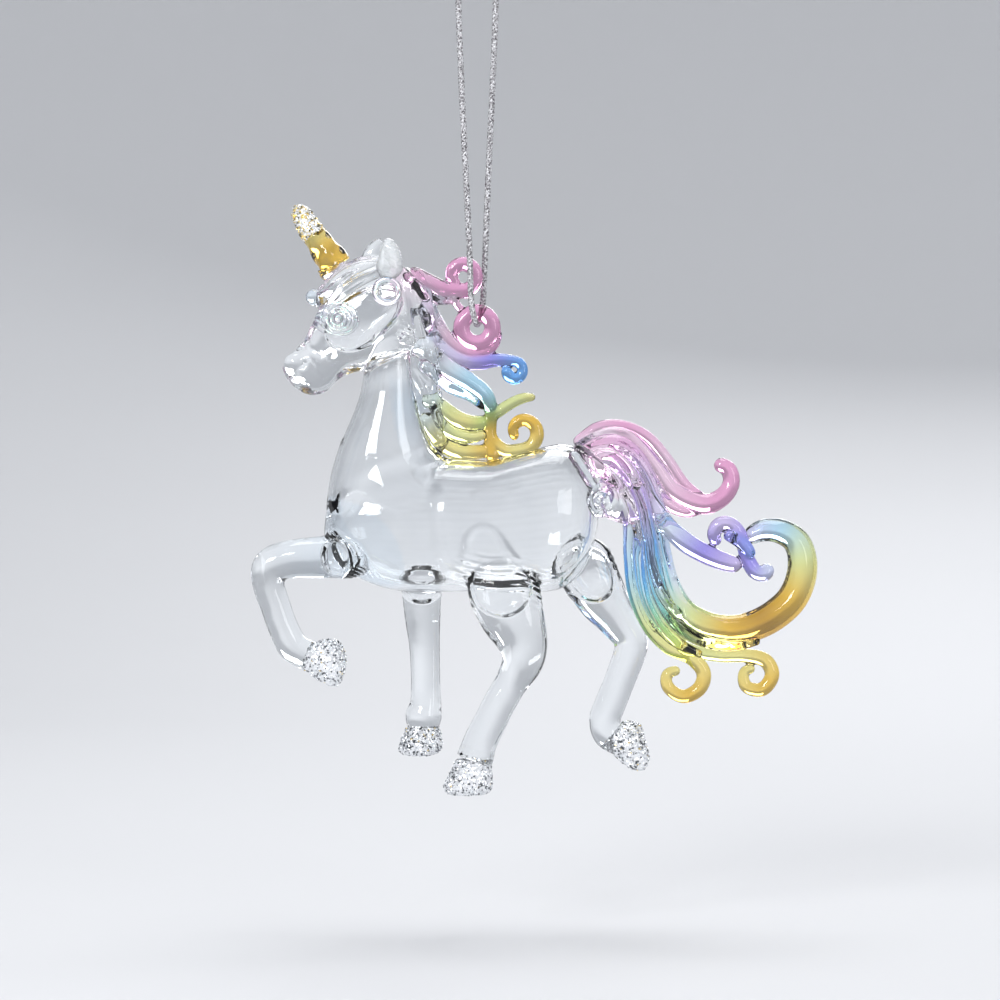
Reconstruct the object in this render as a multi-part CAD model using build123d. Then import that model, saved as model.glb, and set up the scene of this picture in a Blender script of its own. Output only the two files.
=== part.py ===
"""Hanging glass unicorn ornament on a loop of braided cord.

Millimetres, +Z up. The unicorn faces -X and its near side is -Y. The origin is the
inner crest of the cord loop, where a hook carries it.
"""
import math
import os

from build123d import *

# Overall sizes
figure_length = 113.0
ring_drop = 78.0
body_width = 21.0
neck_width = 15.5
head_width = 11.5

# Blown walls
body_wall = 1.3
neck_wall = 1.05
head_wall = 3.2

# Limbs and hooves, widest places seen from the side
foreleg_diameter = 8.0
hind_leg_diameter = 9.0
hoof_diameter = 9.0
hoof_rounding = 2.2

# Head furniture
horn_diameter = 7.0
ear_width = 4.8
ear_thickness = 2.6
ear_ring_bore = 3.6
ear_ring_rod = 1.1
eye_diameter = 4.4
eye_height = 0.8
forelock_diameter = 3.3
jaw_bead_diameter = 4.6

# Mane rods
crest_width = 6.4
crest_thickness = 8.4
ring_bore = 2.8
ring_rod = 3.4
curl_rod = 3.0
lock_diameter = 3.8
stem_diameter = 2.8
leaf_diameter = 2.4
amber_rod = 2.6

# Tail rods
tail_root_width = 13.0
tail_root_thickness = 7.0
large_curl_rod = 6.0
pink_lock_diameter = 4.2
purple_lock_diameter = 3.6
small_curl_rod = 3.0
coil_diameter = 7.0
bead_diameter = 2.0

# Cord
cord_diameter = 1.2
cord_clearance = 0.08
hook_radius = 3.2
knot_width = 3.6
knot_height = 2.8
knot_tail_length = 6.0
knot_lift = 0.35
twist_drop = 12.0
twist_gap = 0.2

# The photograph's pixels: the ring's hole, and how many the figure is long
ring_hole_pixel = (477, 328)
figure_length_pixels = 565

pixel = figure_length / figure_length_pixels

# How the ends of a rod are rounded: how far in, and how wide there, as shares of its width
round_end_shares = [(0.0, 0.24), (0.06, 0.6), (0.18, 0.85), (0.36, 0.98), (0.62, 1.0)]
plain_start_share = 0.9
longest_end_share = 0.45
section_step_share = 0.55
section_turn_degrees = 24
most_even_sections = 28
path_samples = 240

nodes = {}


def at(place_pixels, depth=0.0):
    """A place of the photograph in the part's frame."""
    along = (place_pixels[0] - ring_hole_pixel[0]) * pixel
    up = (ring_hole_pixel[1] - place_pixels[1]) * pixel - ring_drop
    return Vector(along, depth, up)


def between(table, share):
    """The value of a table of evenly or unevenly spaced (share, value) pairs at one share."""
    for (low, first), (high, second) in zip(table, table[1:]):
        if share <= high:
            return first + (second - first) * (share - low) / (high - low)
    return table[-1][1]


def oval(centre, along, wide, thick):
    """An oval wire square to a direction, its first axis in the picture's plane."""
    across = along.cross(Vector(0, 1, 0)).normalized()
    plane = Plane(origin=centre, x_dir=across, z_dir=along)
    return (plane * Ellipse(wide / 2, thick / 2)).wire()


def chord_shares(points):
    """How far along each point lies, as shares of the summed chords."""
    runs = [(b - a).length for a, b in zip(points, points[1:])]
    return [sum(runs[:count]) / sum(runs) for count in range(len(points))]


def stations(path, diameter):
    """Shares of a path's length where its sections stand: closer together where it curls."""
    places = [0.0]
    turned = 0.0
    step = max(section_step_share * diameter, path.length / most_even_sections)
    for sample in range(1, path_samples):
        share = sample / path_samples
        turned += (path % share).get_angle(path % (share - 1 / path_samples))
        far = (share - places[-1]) * path.length > step
        if far or turned > section_turn_degrees:
            places.append(share)
            turned = 0.0
    return places + [1.0]


def rod_points(path_pixels, depth_shares):
    """A rod's places in the part's frame, its depths given as shares of the body's width."""
    depths = list(depth_shares) + [depth_shares[-1]] * (len(path_pixels) - len(depth_shares))
    return [at(place, share * body_width) for place, share in zip(path_pixels, depths)]


def rod(path_pixels, width_shares, diameter, depth_shares=(0.0,), flat_shares=(1.0,), round_ends=(True, True),
        reach_shares=(0.0, 1.0)):
    """A tapering glass rod along a path, its depth given as shares of the body's width."""
    flats = list(flat_shares) + [flat_shares[-1]] * (len(path_pixels) - len(flat_shares))
    points = rod_points(path_pixels, depth_shares)
    path = Spline(*points)
    shares = chord_shares(points)
    widths = [(place, width * diameter) for place, width in zip(shares, width_shares)]
    flat_table = list(zip(shares, flats))
    places = [(share, 1.0) for share in stations(path, diameter)]
    first_reach = min(widths[0][1] / path.length, longest_end_share)
    last_reach = min(widths[-1][1] / path.length, longest_end_share)
    first, last = reach_shares
    if first > 0:
        places = [place for place in places if place[0] > first + plain_start_share * first_reach] + [(first, 1.0)]
    elif round_ends[0]:
        places = [place for place in places if place[0] > plain_start_share * first_reach]
        places += [(inset * first_reach, wide) for inset, wide in round_end_shares]
    if last < 1:
        places = [place for place in places if place[0] < last - plain_start_share * last_reach] + [(last, 1.0)]
    elif round_ends[1]:
        places = [place for place in places if place[0] < 1 - plain_start_share * last_reach]
        places += [(1 - inset * last_reach, wide) for inset, wide in round_end_shares]
    wires = []
    for share, narrowing in sorted(places):
        wide = between(widths, share) * narrowing
        wires.append(oval(path @ share, path % share, wide, wide * between(flat_table, share)))
    return Solid.make_loft(wires)


def slab(stations_pixels, thickness_shares, thickness, depth=0.0, inset=0.0):
    """A rounded form through ovals that each span from one edge place to the other."""
    wires = []
    for (first, second), share in zip(stations_pixels, thickness_shares):
        low = at(first, depth)
        high = at(second, depth)
        span = high - low
        plane = Plane(origin=(low + high) * 0.5, x_dir=span, z_dir=span.cross(Vector(0, 1, 0)))
        wires.append((plane * Ellipse(span.length / 2 - inset, share * thickness / 2 - inset)).wire())
    return Solid.make_loft(wires)


def spiral_pixels(centre_pixel, radius_pixels, start_degrees, turn_degrees, steps, shrink_share):
    """Places along a curl: the angle runs clockwise from the right as the picture shows it."""
    places = []
    for step in range(steps + 1):
        angle = math.radians(start_degrees + turn_degrees * step / steps)
        radius = radius_pixels * (1 - shrink_share * step / steps)
        places.append((centre_pixel[0] + radius * math.cos(angle), centre_pixel[1] + radius * math.sin(angle)))
    return places


def biggest(shape):
    """The largest solid of what a cut leaves."""
    return max(shape.solids(), key=lambda solid: solid.volume)


def seat(piece, *carriers):
    """A piece cut back to meet the larger ones that carry it."""
    for carrier in carriers:
        piece = biggest(piece - carrier)
    return piece


# Barrel, neck and head

body_stations_pixels = [
    ((325, 518), (325, 542)), ((331, 503), (331, 556)), ((345, 484), (345, 570)), ((370, 468), (370, 583)),
    ((400, 460), (400, 591)), ((440, 458), (440, 592)), ((490, 459), (490, 591)), ((530, 450), (530, 592)),
    ((560, 444), (560, 590)), ((580, 449), (580, 578)), ((592, 462), (592, 562)), ((599, 485), (599, 535)),
]
body_thickness_shares = [0.22, 0.52, 0.78, 0.94, 1.0, 1.0, 1.0, 1.0, 0.96, 0.8, 0.56, 0.24]

neck_stations_pixels = [
    ((326, 520), (452, 478)), ((326, 505), (449, 461)), ((330, 478), (437, 449)), ((338, 450), (428, 424)),
    ((349, 424), (423, 402)), ((359, 398), (420, 380)), ((364, 372), (417, 350)), ((368, 345), (414, 318)),
]
neck_thickness_shares = [1.18, 1.16, 1.1, 1.0, 0.9, 0.82, 0.76, 0.7]

head_stations_pixels = [
    ((408, 274), (421, 292)), ((397, 263), (420, 330)), ((380, 262), (412, 351)), ((362, 266), (394, 358)),
    ((344, 276), (374, 368)), ((327, 292), (352, 373)), ((316, 315), (338, 380)), ((305, 338), (325, 392)),
    ((295, 350), (309, 395)), ((286, 359), (296, 388)), ((282, 368), (287, 379)),
]
head_thickness_shares = [0.36, 0.72, 0.94, 1.0, 0.98, 0.9, 0.76, 0.62, 0.56, 0.44, 0.18]

body_outer = slab(body_stations_pixels, body_thickness_shares, body_width)
body_cavity = slab(body_stations_pixels[1:-1], body_thickness_shares[1:-1], body_width, inset=body_wall)
head_outer = slab(head_stations_pixels, head_thickness_shares, head_width)
head_cavity = slab(head_stations_pixels[1:7], head_thickness_shares[1:7], head_width, inset=head_wall)
neck_outer = slab(neck_stations_pixels, neck_thickness_shares, neck_width)
neck_cavity = slab(neck_stations_pixels[2:7], neck_thickness_shares[2:7], neck_width, inset=neck_wall)

nodes["body_shell"] = body_outer - body_cavity
nodes["neck_shell"] = seat(neck_outer, body_outer, head_outer) - neck_cavity
nodes["head"] = head_outer - head_cavity

# Eyes, ears, horn and forelock

eye_pixel = (340, 318)
eye_depth_share = 0.43
ear_near_pixels = [(389, 283), (389, 270), (390, 255), (387, 240)]
ear_near_width_shares = [0.9, 1.0, 0.75, 0.25]
ear_far_pixels = [(366, 276), (367, 260), (372, 248), (379, 238)]
ear_far_width_shares = [0.7, 0.8, 0.6, 0.25]
ear_near_depth_share = -0.17
ear_far_depth_share = 0.17
ear_ring_pixel = (388, 293)
ear_ring_depth_share = 0.49
collar_pixels = [(341, 286), (334, 275), (330, 268)]
collar_width_shares = [0.72, 0.78, 0.92]
horn_pixels = [(330, 268), (322, 254), (316, 243), (311, 233)]
horn_width_shares = [0.94, 0.84, 0.76, 0.72]
horn_tip_pixels = [(311, 233), (304, 219), (297, 206)]
horn_tip_width_shares = [0.74, 0.62, 0.34]
forelock_pixels = [(378, 268), (356, 274), (338, 285), (323, 297), (312, 291)]
forelock_width_shares = [0.9, 1.0, 0.9, 0.8, 1.0]
forelock_depth_shares = [-0.04, -0.11, -0.15, -0.11, -0.07]
jaw_bead_pixel = (407, 341)
jaw_bead_depth_share = 0.36


def make_eye(side):
    """A low glass drop on the cheek; side is -1 near and +1 far."""
    centre = at(eye_pixel, side * eye_depth_share * head_width)
    dome = Sphere(eye_diameter / 2)
    flat = scale(dome, by=(1, 2 * eye_height / eye_diameter, 1))
    return biggest(Pos(centre) * flat - head_outer)


nodes["eye_near"] = make_eye(-1)
nodes["eye_far"] = make_eye(1)

ear_near = rod(ear_near_pixels, ear_near_width_shares, ear_width, [ear_near_depth_share],
               [ear_thickness / ear_width])
nodes["ear_near"] = seat(ear_near, head_outer)
ear_far = rod(ear_far_pixels, ear_far_width_shares, ear_width, [ear_far_depth_share],
              [ear_thickness / ear_width])
nodes["ear_far"] = seat(ear_far, head_outer)

ear_ring_shape = Rot(90, 0, 0) * Torus((ear_ring_bore + ear_ring_rod) / 2, ear_ring_rod / 2)
ear_ring_whole = Pos(at(ear_ring_pixel, -ear_ring_depth_share * head_width)) * ear_ring_shape
nodes["ear_ring"] = seat(ear_ring_whole, head_outer, nodes["ear_near"])

collar = rod(collar_pixels, collar_width_shares, horn_diameter, round_ends=(False, False))
nodes["horn_collar"] = seat(collar, head_outer)
nodes["horn"] = rod(horn_pixels, horn_width_shares, horn_diameter, round_ends=(False, False))
nodes["horn_tip"] = rod(horn_tip_pixels, horn_tip_width_shares, horn_diameter, round_ends=(False, True))
nodes["horn"] = seat(nodes["horn"], nodes["horn_collar"], nodes["horn_tip"])
forelock = rod(forelock_pixels, forelock_width_shares, forelock_diameter, forelock_depth_shares)
nodes["forelock"] = seat(forelock, head_outer, nodes["horn_collar"], nodes["horn"], nodes["ear_far"])

# Mane

crest_pixels = [(403, 270), (417, 298), (422, 335), (424, 375), (429, 415), (442, 452)]
crest_width_shares = [0.8, 1.0, 1.0, 0.86, 0.74, 0.66]
crest_flat_shares = [1.0, 1.2, 1.3, 1.3, 1.2, 1.0]
upper_curl_centre_pixel = (462, 276)
upper_curl_lock_pixels = [(408, 274), (424, 281), (441, 289), (452, 291)]
upper_curl_width_shares = [1.1, 1.3, 1.25, 1.1] + [1.0] * 8 + [0.8]
ring_lock_pixels = [(424, 300), (434, 322), (447, 341), (463, 352), (481, 353), (494, 344), (500, 334)]
ring_lock_width_shares = [1.0, 1.0, 0.9, 0.75, 0.6, 0.5, 0.35]
blue_lock_pixels = [(424, 336), (440, 350), (458, 360), (480, 362), (498, 360)]
blue_lock_width_shares = [0.9, 0.95, 0.95, 0.85, 0.72] + [0.56] * 6
blue_curl_centre_pixel = (514, 371)
arch_lock_pixels = [(414, 342), (430, 354), (450, 372), (470, 384), (485, 396), (492, 414)]
arch_lock_width_shares = [1.0, 1.15, 1.15, 1.05, 0.9, 0.7]
arch_lock_depth_shares = [-0.05, -0.08, -0.08, -0.05, 0.0]
green_lock_pixels = [(424, 396), (440, 407), (457, 420), (475, 424), (489, 420)]
green_lock_width_shares = [0.8, 0.95, 1.0, 0.9, 0.7]
yellow_lock_pixels = [(424, 412), (430, 428), (444, 444), (460, 452), (478, 452), (490, 450)]
yellow_lock_width_shares = [0.7, 0.85, 0.9, 0.9, 0.8, 0.7]
stem_pixels = [(492, 408), (490, 428), (491, 446), (494, 462)]
stem_width_shares = [1.0, 1.0, 1.0, 1.1]
leaf_pixels = [(486, 421), (498, 412), (512, 403), (524, 398), (536, 397)]
leaf_width_shares = [0.9, 1.0, 1.0, 0.9, 0.6]
amber_curl_centre_pixel = (522, 432)
amber_curl_pixels = [(489, 432), (495, 443), (506, 451)]
amber_curl_width_shares = [0.9, 1.0, 1.1] + [1.1] * 7 + [0.95]

# Each turn of a curl: radius in pixels, first angle, angle turned, steps, and how far it draws in as a share
upper_curl_turn = (14.5, 70, -300, 8, 0.22)
blue_curl_turn = (10, -60, 290, 5, 0.25)
amber_curl_turn = (18, 90, -290, 7, 0.5)
upper_curl_flat_share = 0.86

crest = rod(crest_pixels, crest_width_shares, crest_width, flat_shares=crest_flat_shares)
nodes["mane_crest"] = seat(crest, head_outer, neck_outer, body_outer, nodes["ear_near"], nodes["ear_far"])

jaw_bead = Pos(at(jaw_bead_pixel, -jaw_bead_depth_share * head_width)) * Sphere(jaw_bead_diameter / 2)
nodes["jaw_bead"] = seat(jaw_bead, head_outer, neck_outer, nodes["mane_crest"])

upper_curl_places = upper_curl_lock_pixels + spiral_pixels(upper_curl_centre_pixel, *upper_curl_turn)
upper_curl = rod(upper_curl_places, upper_curl_width_shares, curl_rod, flat_shares=[upper_curl_flat_share])
nodes["mane_upper_curl"] = seat(upper_curl, head_outer, nodes["mane_crest"])

ring_centre = at(ring_hole_pixel)
ring_radius = (ring_bore + ring_rod) / 2
nodes["hanging_ring"] = Pos(ring_centre) * Rot(90, 0, 0) * Torus(ring_radius, ring_rod / 2)

ring_lock = rod(ring_lock_pixels, ring_lock_width_shares, lock_diameter)
nodes["mane_ring_lock"] = seat(ring_lock, nodes["mane_crest"], neck_outer, nodes["hanging_ring"])

blue_places = blue_lock_pixels + spiral_pixels(blue_curl_centre_pixel, *blue_curl_turn)
blue_lock = rod(blue_places, blue_lock_width_shares, lock_diameter)
nodes["mane_blue_lock"] = seat(blue_lock, nodes["mane_crest"], neck_outer, nodes["mane_ring_lock"])

arch_lock = rod(arch_lock_pixels, arch_lock_width_shares, lock_diameter, arch_lock_depth_shares)
nodes["mane_arch_lock"] = seat(arch_lock, nodes["mane_crest"], neck_outer, nodes["mane_blue_lock"])

green_lock = rod(green_lock_pixels, green_lock_width_shares, lock_diameter)
nodes["mane_green_lock"] = seat(green_lock, nodes["mane_crest"], neck_outer, nodes["mane_arch_lock"])

yellow_lock = rod(yellow_lock_pixels, yellow_lock_width_shares, lock_diameter)
nodes["mane_yellow_lock"] = seat(yellow_lock, nodes["mane_crest"], neck_outer, body_outer,
                                 nodes["mane_green_lock"])

stem = rod(stem_pixels, stem_width_shares, stem_diameter)
nodes["mane_stem"] = seat(stem, body_outer, nodes["mane_arch_lock"], nodes["mane_green_lock"],
                          nodes["mane_yellow_lock"])

leaf = rod(leaf_pixels, leaf_width_shares, leaf_diameter)
nodes["mane_leaf"] = seat(leaf, nodes["mane_stem"], nodes["mane_green_lock"], nodes["mane_arch_lock"])

amber_places = amber_curl_pixels + spiral_pixels(amber_curl_centre_pixel, *amber_curl_turn)
amber_curl = rod(amber_places, amber_curl_width_shares, amber_rod)
nodes["mane_amber_curl"] = seat(amber_curl, body_outer, nodes["mane_stem"], nodes["mane_yellow_lock"],
                                nodes["mane_leaf"])

# Legs and hooves

raised_leg_pixels = [(360, 556), (325, 557), (298, 559), (275, 564), (271, 585), (281, 611), (291, 632), (303, 653)]
raised_leg_width_shares = [1.2, 1.15, 1.0, 0.92, 0.84, 0.8, 0.8, 0.86]
standing_leg_pixels = [(420, 575), (421, 605), (424, 645), (425, 680), (424, 707), (421, 730)]
standing_leg_width_shares = [1.15, 0.95, 0.78, 0.75, 0.88, 0.8]
hind_near_pixels = [(492, 535), (500, 562), (507, 597), (515, 625), (524, 648), (514, 675), (500, 700),
                    (488, 725), (476, 758)]
hind_near_width_shares = [1.05, 1.6, 1.5, 1.25, 1.0, 0.8, 0.76, 0.76, 0.84]
hind_near_flat_shares = [0.5, 0.5, 0.62, 0.75, 0.88, 0.95, 1.0]
hind_far_pixels = [(565, 552), (586, 586), (608, 612), (630, 637), (628, 660), (618, 688), (608, 714), (612, 735)]
hind_far_width_shares = [1.3, 1.3, 1.0, 0.84, 0.76, 0.72, 0.78, 0.76]
hind_far_flat_shares = [0.6, 0.65, 0.8, 0.95, 1.0]
fore_depth_share = 0.27
hind_depth_share = 0.3

# Each hoof: its name, its places inside the leg's end and at its sole, and its widths there as shares
raised_hoof = ("hoof_raised", (300, 648), (343, 669), 0.88, 0.95)
standing_hoof = ("hoof_standing", (421, 724), (420, 758), 0.8, 0.98)
hind_near_hoof = ("hoof_hind_near", (478, 752), (467, 792), 0.84, 1.05)
hind_far_hoof = ("hoof_hind_far", (609, 730), (641, 768), 0.78, 0.86)
hoof_flat_share = 0.9

legs = {
    "foreleg_raised": (raised_leg_pixels, raised_leg_width_shares, foreleg_diameter, -fore_depth_share, [1.0]),
    "foreleg_standing": (standing_leg_pixels, standing_leg_width_shares, foreleg_diameter, fore_depth_share,
                         [1.0]),
    "hind_leg_near": (hind_near_pixels, hind_near_width_shares, hind_leg_diameter, -hind_depth_share,
                      hind_near_flat_shares),
    "hind_leg_far": (hind_far_pixels, hind_far_width_shares, hind_leg_diameter, hind_depth_share,
                     hind_far_flat_shares),
}
hooves = {
    "foreleg_raised": raised_hoof,
    "foreleg_standing": standing_hoof,
    "hind_leg_near": hind_near_hoof,
    "hind_leg_far": hind_far_hoof,
}


def make_hoof(start_pixel, sole_pixel, start_share, sole_share, depth_share, leg_end):
    """A rounded glass foot, cut flat where it meets the end of its leg."""
    start = at(start_pixel, depth_share * body_width)
    run = at(sole_pixel, depth_share * body_width) - start
    alignment = (Align.CENTER, Align.CENTER, Align.MIN)
    foot = Cone(start_share * hoof_diameter / 2, sole_share * hoof_diameter / 2, run.length, align=alignment)
    sole_edge = foot.edges().filter_by(GeomType.CIRCLE).sort_by(Axis.Z)[-1]
    foot = scale(fillet(sole_edge, hoof_rounding), by=(1, hoof_flat_share, 1))
    placed = Plane(origin=start, x_dir=run.cross(Vector(0, 1, 0)), z_dir=run) * foot
    return biggest(split(placed, bisect_by=leg_end, keep=Keep.TOP))


for leg_name, (places, shares, diameter, depth, flats) in legs.items():
    leg = rod(places, shares, diameter, [depth], flats, round_ends=(True, False))
    nodes[leg_name] = seat(leg, body_outer)
    leg_path = Spline(*rod_points(places, [depth]))
    leg_end = Plane(origin=leg_path @ 1, z_dir=leg_path % 1)
    hoof_name, *hoof_form = hooves[leg_name]
    nodes[hoof_name] = make_hoof(*hoof_form, depth, leg_end)

# Tail

tail_root_pixels = [(578, 462), (592, 458), (607, 462), (622, 474), (636, 492)]
tail_root_width_shares = [0.9, 1.0, 0.98, 0.8, 0.5]
large_curl_pixels = [(600, 452), (632, 470), (652, 505), (657, 545), (662, 582), (676, 610), (697, 625), (720, 629),
                     (745, 628), (770, 618), (791, 600), (802, 578), (803, 556), (794, 539), (778, 531),
                     (760, 531), (744, 540)]
large_curl_width_shares = [0.55, 0.55, 0.55, 0.56, 0.66, 0.82, 0.98, 0.9, 0.96, 1.0, 1.0, 0.98, 0.94, 0.88,
                           0.82, 0.72, 0.5]
pink_lock_pixels = [(590, 446), (612, 434), (634, 434), (652, 448), (668, 470), (683, 492), (703, 503), (720, 499),
                    (731, 485), (728, 469), (714, 463)]
pink_lock_width_shares = [1.0, 1.15, 1.2, 1.2, 1.2, 1.1, 0.95, 0.8, 0.7, 0.66, 0.6]
purple_lock_pixels = [(610, 452), (632, 468), (648, 495), (662, 521), (680, 538), (700, 550), (722, 560), (741, 566)]
purple_lock_width_shares = [0.6, 0.6, 0.62, 0.7, 0.9, 0.95, 0.95, 0.7]
left_strand_pixels = [(604, 484), (620, 500), (630, 525), (629, 560), (633, 598), (648, 628), (668, 648), (690, 657),
                      (701, 673), (697, 688), (682, 693), (670, 685), (670, 674)]
left_strand_width_shares = [0.7, 0.7, 0.62, 0.62, 0.66, 0.7, 0.75, 0.85, 0.85, 0.85, 0.8, 0.65, 0.5]
right_strand_pixels = [(612, 476), (632, 500), (642, 535), (642, 575), (650, 606), (668, 632), (692, 648), (720, 655),
                       (745, 654), (764, 659), (772, 674), (764, 687), (749, 685), (744, 674)]
right_strand_width_shares = [0.7, 0.7, 0.66, 0.66, 0.7, 0.75, 0.75, 0.72, 0.74, 0.84, 0.9, 0.85, 0.7, 0.5]
twin_curl_pixels = [(716, 541), (714, 530), (723, 523), (734, 528), (742, 541), (746, 556), (753, 570), (764, 574),
                    (768, 564)]
twin_curl_width_shares = [0.5, 0.66, 0.7, 0.7, 0.66, 0.66, 0.75, 0.8, 0.6]
coil_pixels = [(596, 500), (612, 504), (630, 516)]
coil_width_shares = [1.0, 0.9, 0.6]
coil_flat_share = 0.75
bead_pixel = (749, 643)
tail_front_share = -0.12
tail_left_share = -0.06
tail_back_share = 0.1
coil_depth_share = -0.18
large_curl_from_share = 0.35
left_curl_from_share = 0.42
right_curl_from_share = 0.42


def strand_and_curl(name, curl_from_share, path_pixels, width_shares, diameter, depth_shares, carriers):
    """One long rod in two pieces that meet face to face: the strand in the bundle and its free curl."""
    for piece, reach in (("strand", (0.0, curl_from_share)), ("curl", (curl_from_share, 1.0))):
        whole = rod(path_pixels, width_shares, diameter, depth_shares, reach_shares=reach)
        nodes[f"tail_{name}_{piece}"] = seat(whole, *carriers)


tail_root = rod(tail_root_pixels, tail_root_width_shares, tail_root_width,
                flat_shares=[tail_root_thickness / tail_root_width])
nodes["tail_root"] = seat(tail_root, body_outer)
strand_and_curl("large", large_curl_from_share, large_curl_pixels, large_curl_width_shares, large_curl_rod, [0],
                [body_outer, nodes["tail_root"]])
large_pieces = [nodes["tail_large_strand"], nodes["tail_large_curl"]]
pink_lock = rod(pink_lock_pixels, pink_lock_width_shares, pink_lock_diameter)
nodes["tail_pink_lock"] = seat(pink_lock, body_outer, nodes["tail_root"], nodes["tail_large_strand"])
purple_lock = rod(purple_lock_pixels, purple_lock_width_shares, purple_lock_diameter, [tail_front_share])
nodes["tail_purple_lock"] = seat(purple_lock, nodes["tail_root"], *large_pieces, nodes["tail_pink_lock"])
strand_and_curl("left", left_curl_from_share, left_strand_pixels, left_strand_width_shares, small_curl_rod,
                [tail_left_share], [nodes["tail_root"], *large_pieces])
left_pieces = [nodes["tail_left_strand"], nodes["tail_left_curl"]]
strand_and_curl("right", right_curl_from_share, right_strand_pixels, right_strand_width_shares, small_curl_rod,
                [tail_back_share], [nodes["tail_root"], *large_pieces, *left_pieces])
right_pieces = [nodes["tail_right_strand"], nodes["tail_right_curl"]]
twin_curl = rod(twin_curl_pixels, twin_curl_width_shares, small_curl_rod, [tail_front_share])
nodes["tail_twin_curl"] = seat(twin_curl, nodes["tail_large_curl"], nodes["tail_purple_lock"])
coil = rod(coil_pixels, coil_width_shares, coil_diameter, [coil_depth_share], [coil_flat_share])
nodes["tail_coil"] = seat(coil, body_outer, nodes["tail_root"], nodes["tail_left_strand"],
                          nodes["tail_large_strand"])
bead = Pos(at(bead_pixel)) * Sphere(bead_diameter / 2)
nodes["tail_bead"] = seat(bead, nodes["tail_large_curl"], nodes["tail_right_curl"])

# Cord

bight_radius = ring_rod / 2 + cord_diameter / 2 + cord_clearance
bight_height = ring_centre.Z + ring_radius
strand_lean = 1.2
strand_entry_rise = 1.5
bight_lean = 0.3
entry_radius = 5.0


def tube(points, radii):
    """A round tube along straight runs joined by arcs."""
    path = FilletPolyline(*points, radius=radii)
    print("cord arcs", [round(radius, 2) for radius in radii], "length", round(path.length, 1))
    start = Plane(origin=path @ 0, z_dir=path % 0)
    solid = sweep(start * Circle(cord_diameter / 2), path=path).solid()
    section = math.pi * cord_diameter**2 / 4
    print("cord volume over section times length", round(solid.volume / section / path.length, 4))
    return solid


crest_height = cord_diameter / 2
loop_half_width = hook_radius + cord_diameter / 2
crest_arc_share = 0.999
crest_points = [
    (-loop_half_width, 0, -twist_drop),
    (-loop_half_width, 0, crest_height),
    (loop_half_width, 0, crest_height),
    (loop_half_width, 0, -twist_drop),
]
nodes["cord_crest"] = tube(crest_points, [crest_arc_share * loop_half_width] * 2)

entry_height = bight_height + strand_entry_rise
bight_bottom = bight_height - bight_radius
strand_points = [
    (-loop_half_width, 0, -twist_drop - twist_gap),
    (-strand_lean, -bight_radius, entry_height),
    (-bight_lean, -bight_radius, bight_bottom),
    (bight_lean, bight_radius, bight_bottom),
    (strand_lean, bight_radius, entry_height),
    (loop_half_width, 0, -twist_drop - twist_gap),
]
nodes["cord_strands"] = tube(strand_points, [entry_radius, bight_radius, bight_radius, entry_radius])

knot_middle_height = knot_height / 2 + knot_lift
knot_depth_share = 0.9
knot_tail_spread_share = 0.45
knot_tail_turn_share = 0.2
knot_scale = (1, knot_depth_share, knot_height / knot_width)
knot_body = Pos(0, 0, knot_middle_height) * scale(Sphere(knot_width / 2), by=knot_scale)
for side in (-1, 1):
    tail_start = Vector(0, 0, knot_middle_height)
    tail_end = tail_start + Vector(side * knot_tail_spread_share, side * knot_tail_turn_share, 1) * knot_tail_length
    tail_plane = Plane(origin=tail_start, z_dir=tail_end - tail_start)
    tail = extrude(tail_plane * Circle(cord_diameter / 2), knot_tail_length)
    knot_body = knot_body + tail
nodes["cord_knot"] = seat(knot_body, nodes["cord_crest"])

os.makedirs("parts", exist_ok=True)
for name, solid in nodes.items():
    export_step(solid, f"parts/{name}.step")
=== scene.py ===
import math
import random

import bpy
import numpy as np
from mathutils import Matrix, Vector
from mathutils.bvhtree import BVHTree
from mathutils.kdtree import KDTree


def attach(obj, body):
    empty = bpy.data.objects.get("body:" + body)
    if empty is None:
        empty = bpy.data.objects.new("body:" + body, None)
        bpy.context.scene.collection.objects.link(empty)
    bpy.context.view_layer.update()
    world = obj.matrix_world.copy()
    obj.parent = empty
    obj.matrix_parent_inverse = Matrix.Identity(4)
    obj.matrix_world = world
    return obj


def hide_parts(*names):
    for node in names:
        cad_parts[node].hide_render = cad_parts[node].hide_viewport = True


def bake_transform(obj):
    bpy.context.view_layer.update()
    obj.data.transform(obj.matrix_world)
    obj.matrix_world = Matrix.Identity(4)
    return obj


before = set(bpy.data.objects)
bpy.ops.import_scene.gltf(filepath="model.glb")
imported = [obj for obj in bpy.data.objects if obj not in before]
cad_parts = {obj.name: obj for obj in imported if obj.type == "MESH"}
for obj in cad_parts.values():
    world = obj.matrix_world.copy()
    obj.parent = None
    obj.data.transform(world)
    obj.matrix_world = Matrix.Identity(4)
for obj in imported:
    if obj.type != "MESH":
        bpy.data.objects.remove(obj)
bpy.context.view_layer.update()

# The picture's scale: metres to a pixel, the hanging ring's hole and how far it hangs below the hook
PIXEL = 0.0002
RING_PIXEL = (477, 328)
RING_DROP = 0.078

# How finely the glass is fused, and how many rounds of smoothing it gets
FUSE_SIZE = 0.00034
RELAX_ROUNDS = 5
LINE_STEP = 0.00035

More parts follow.
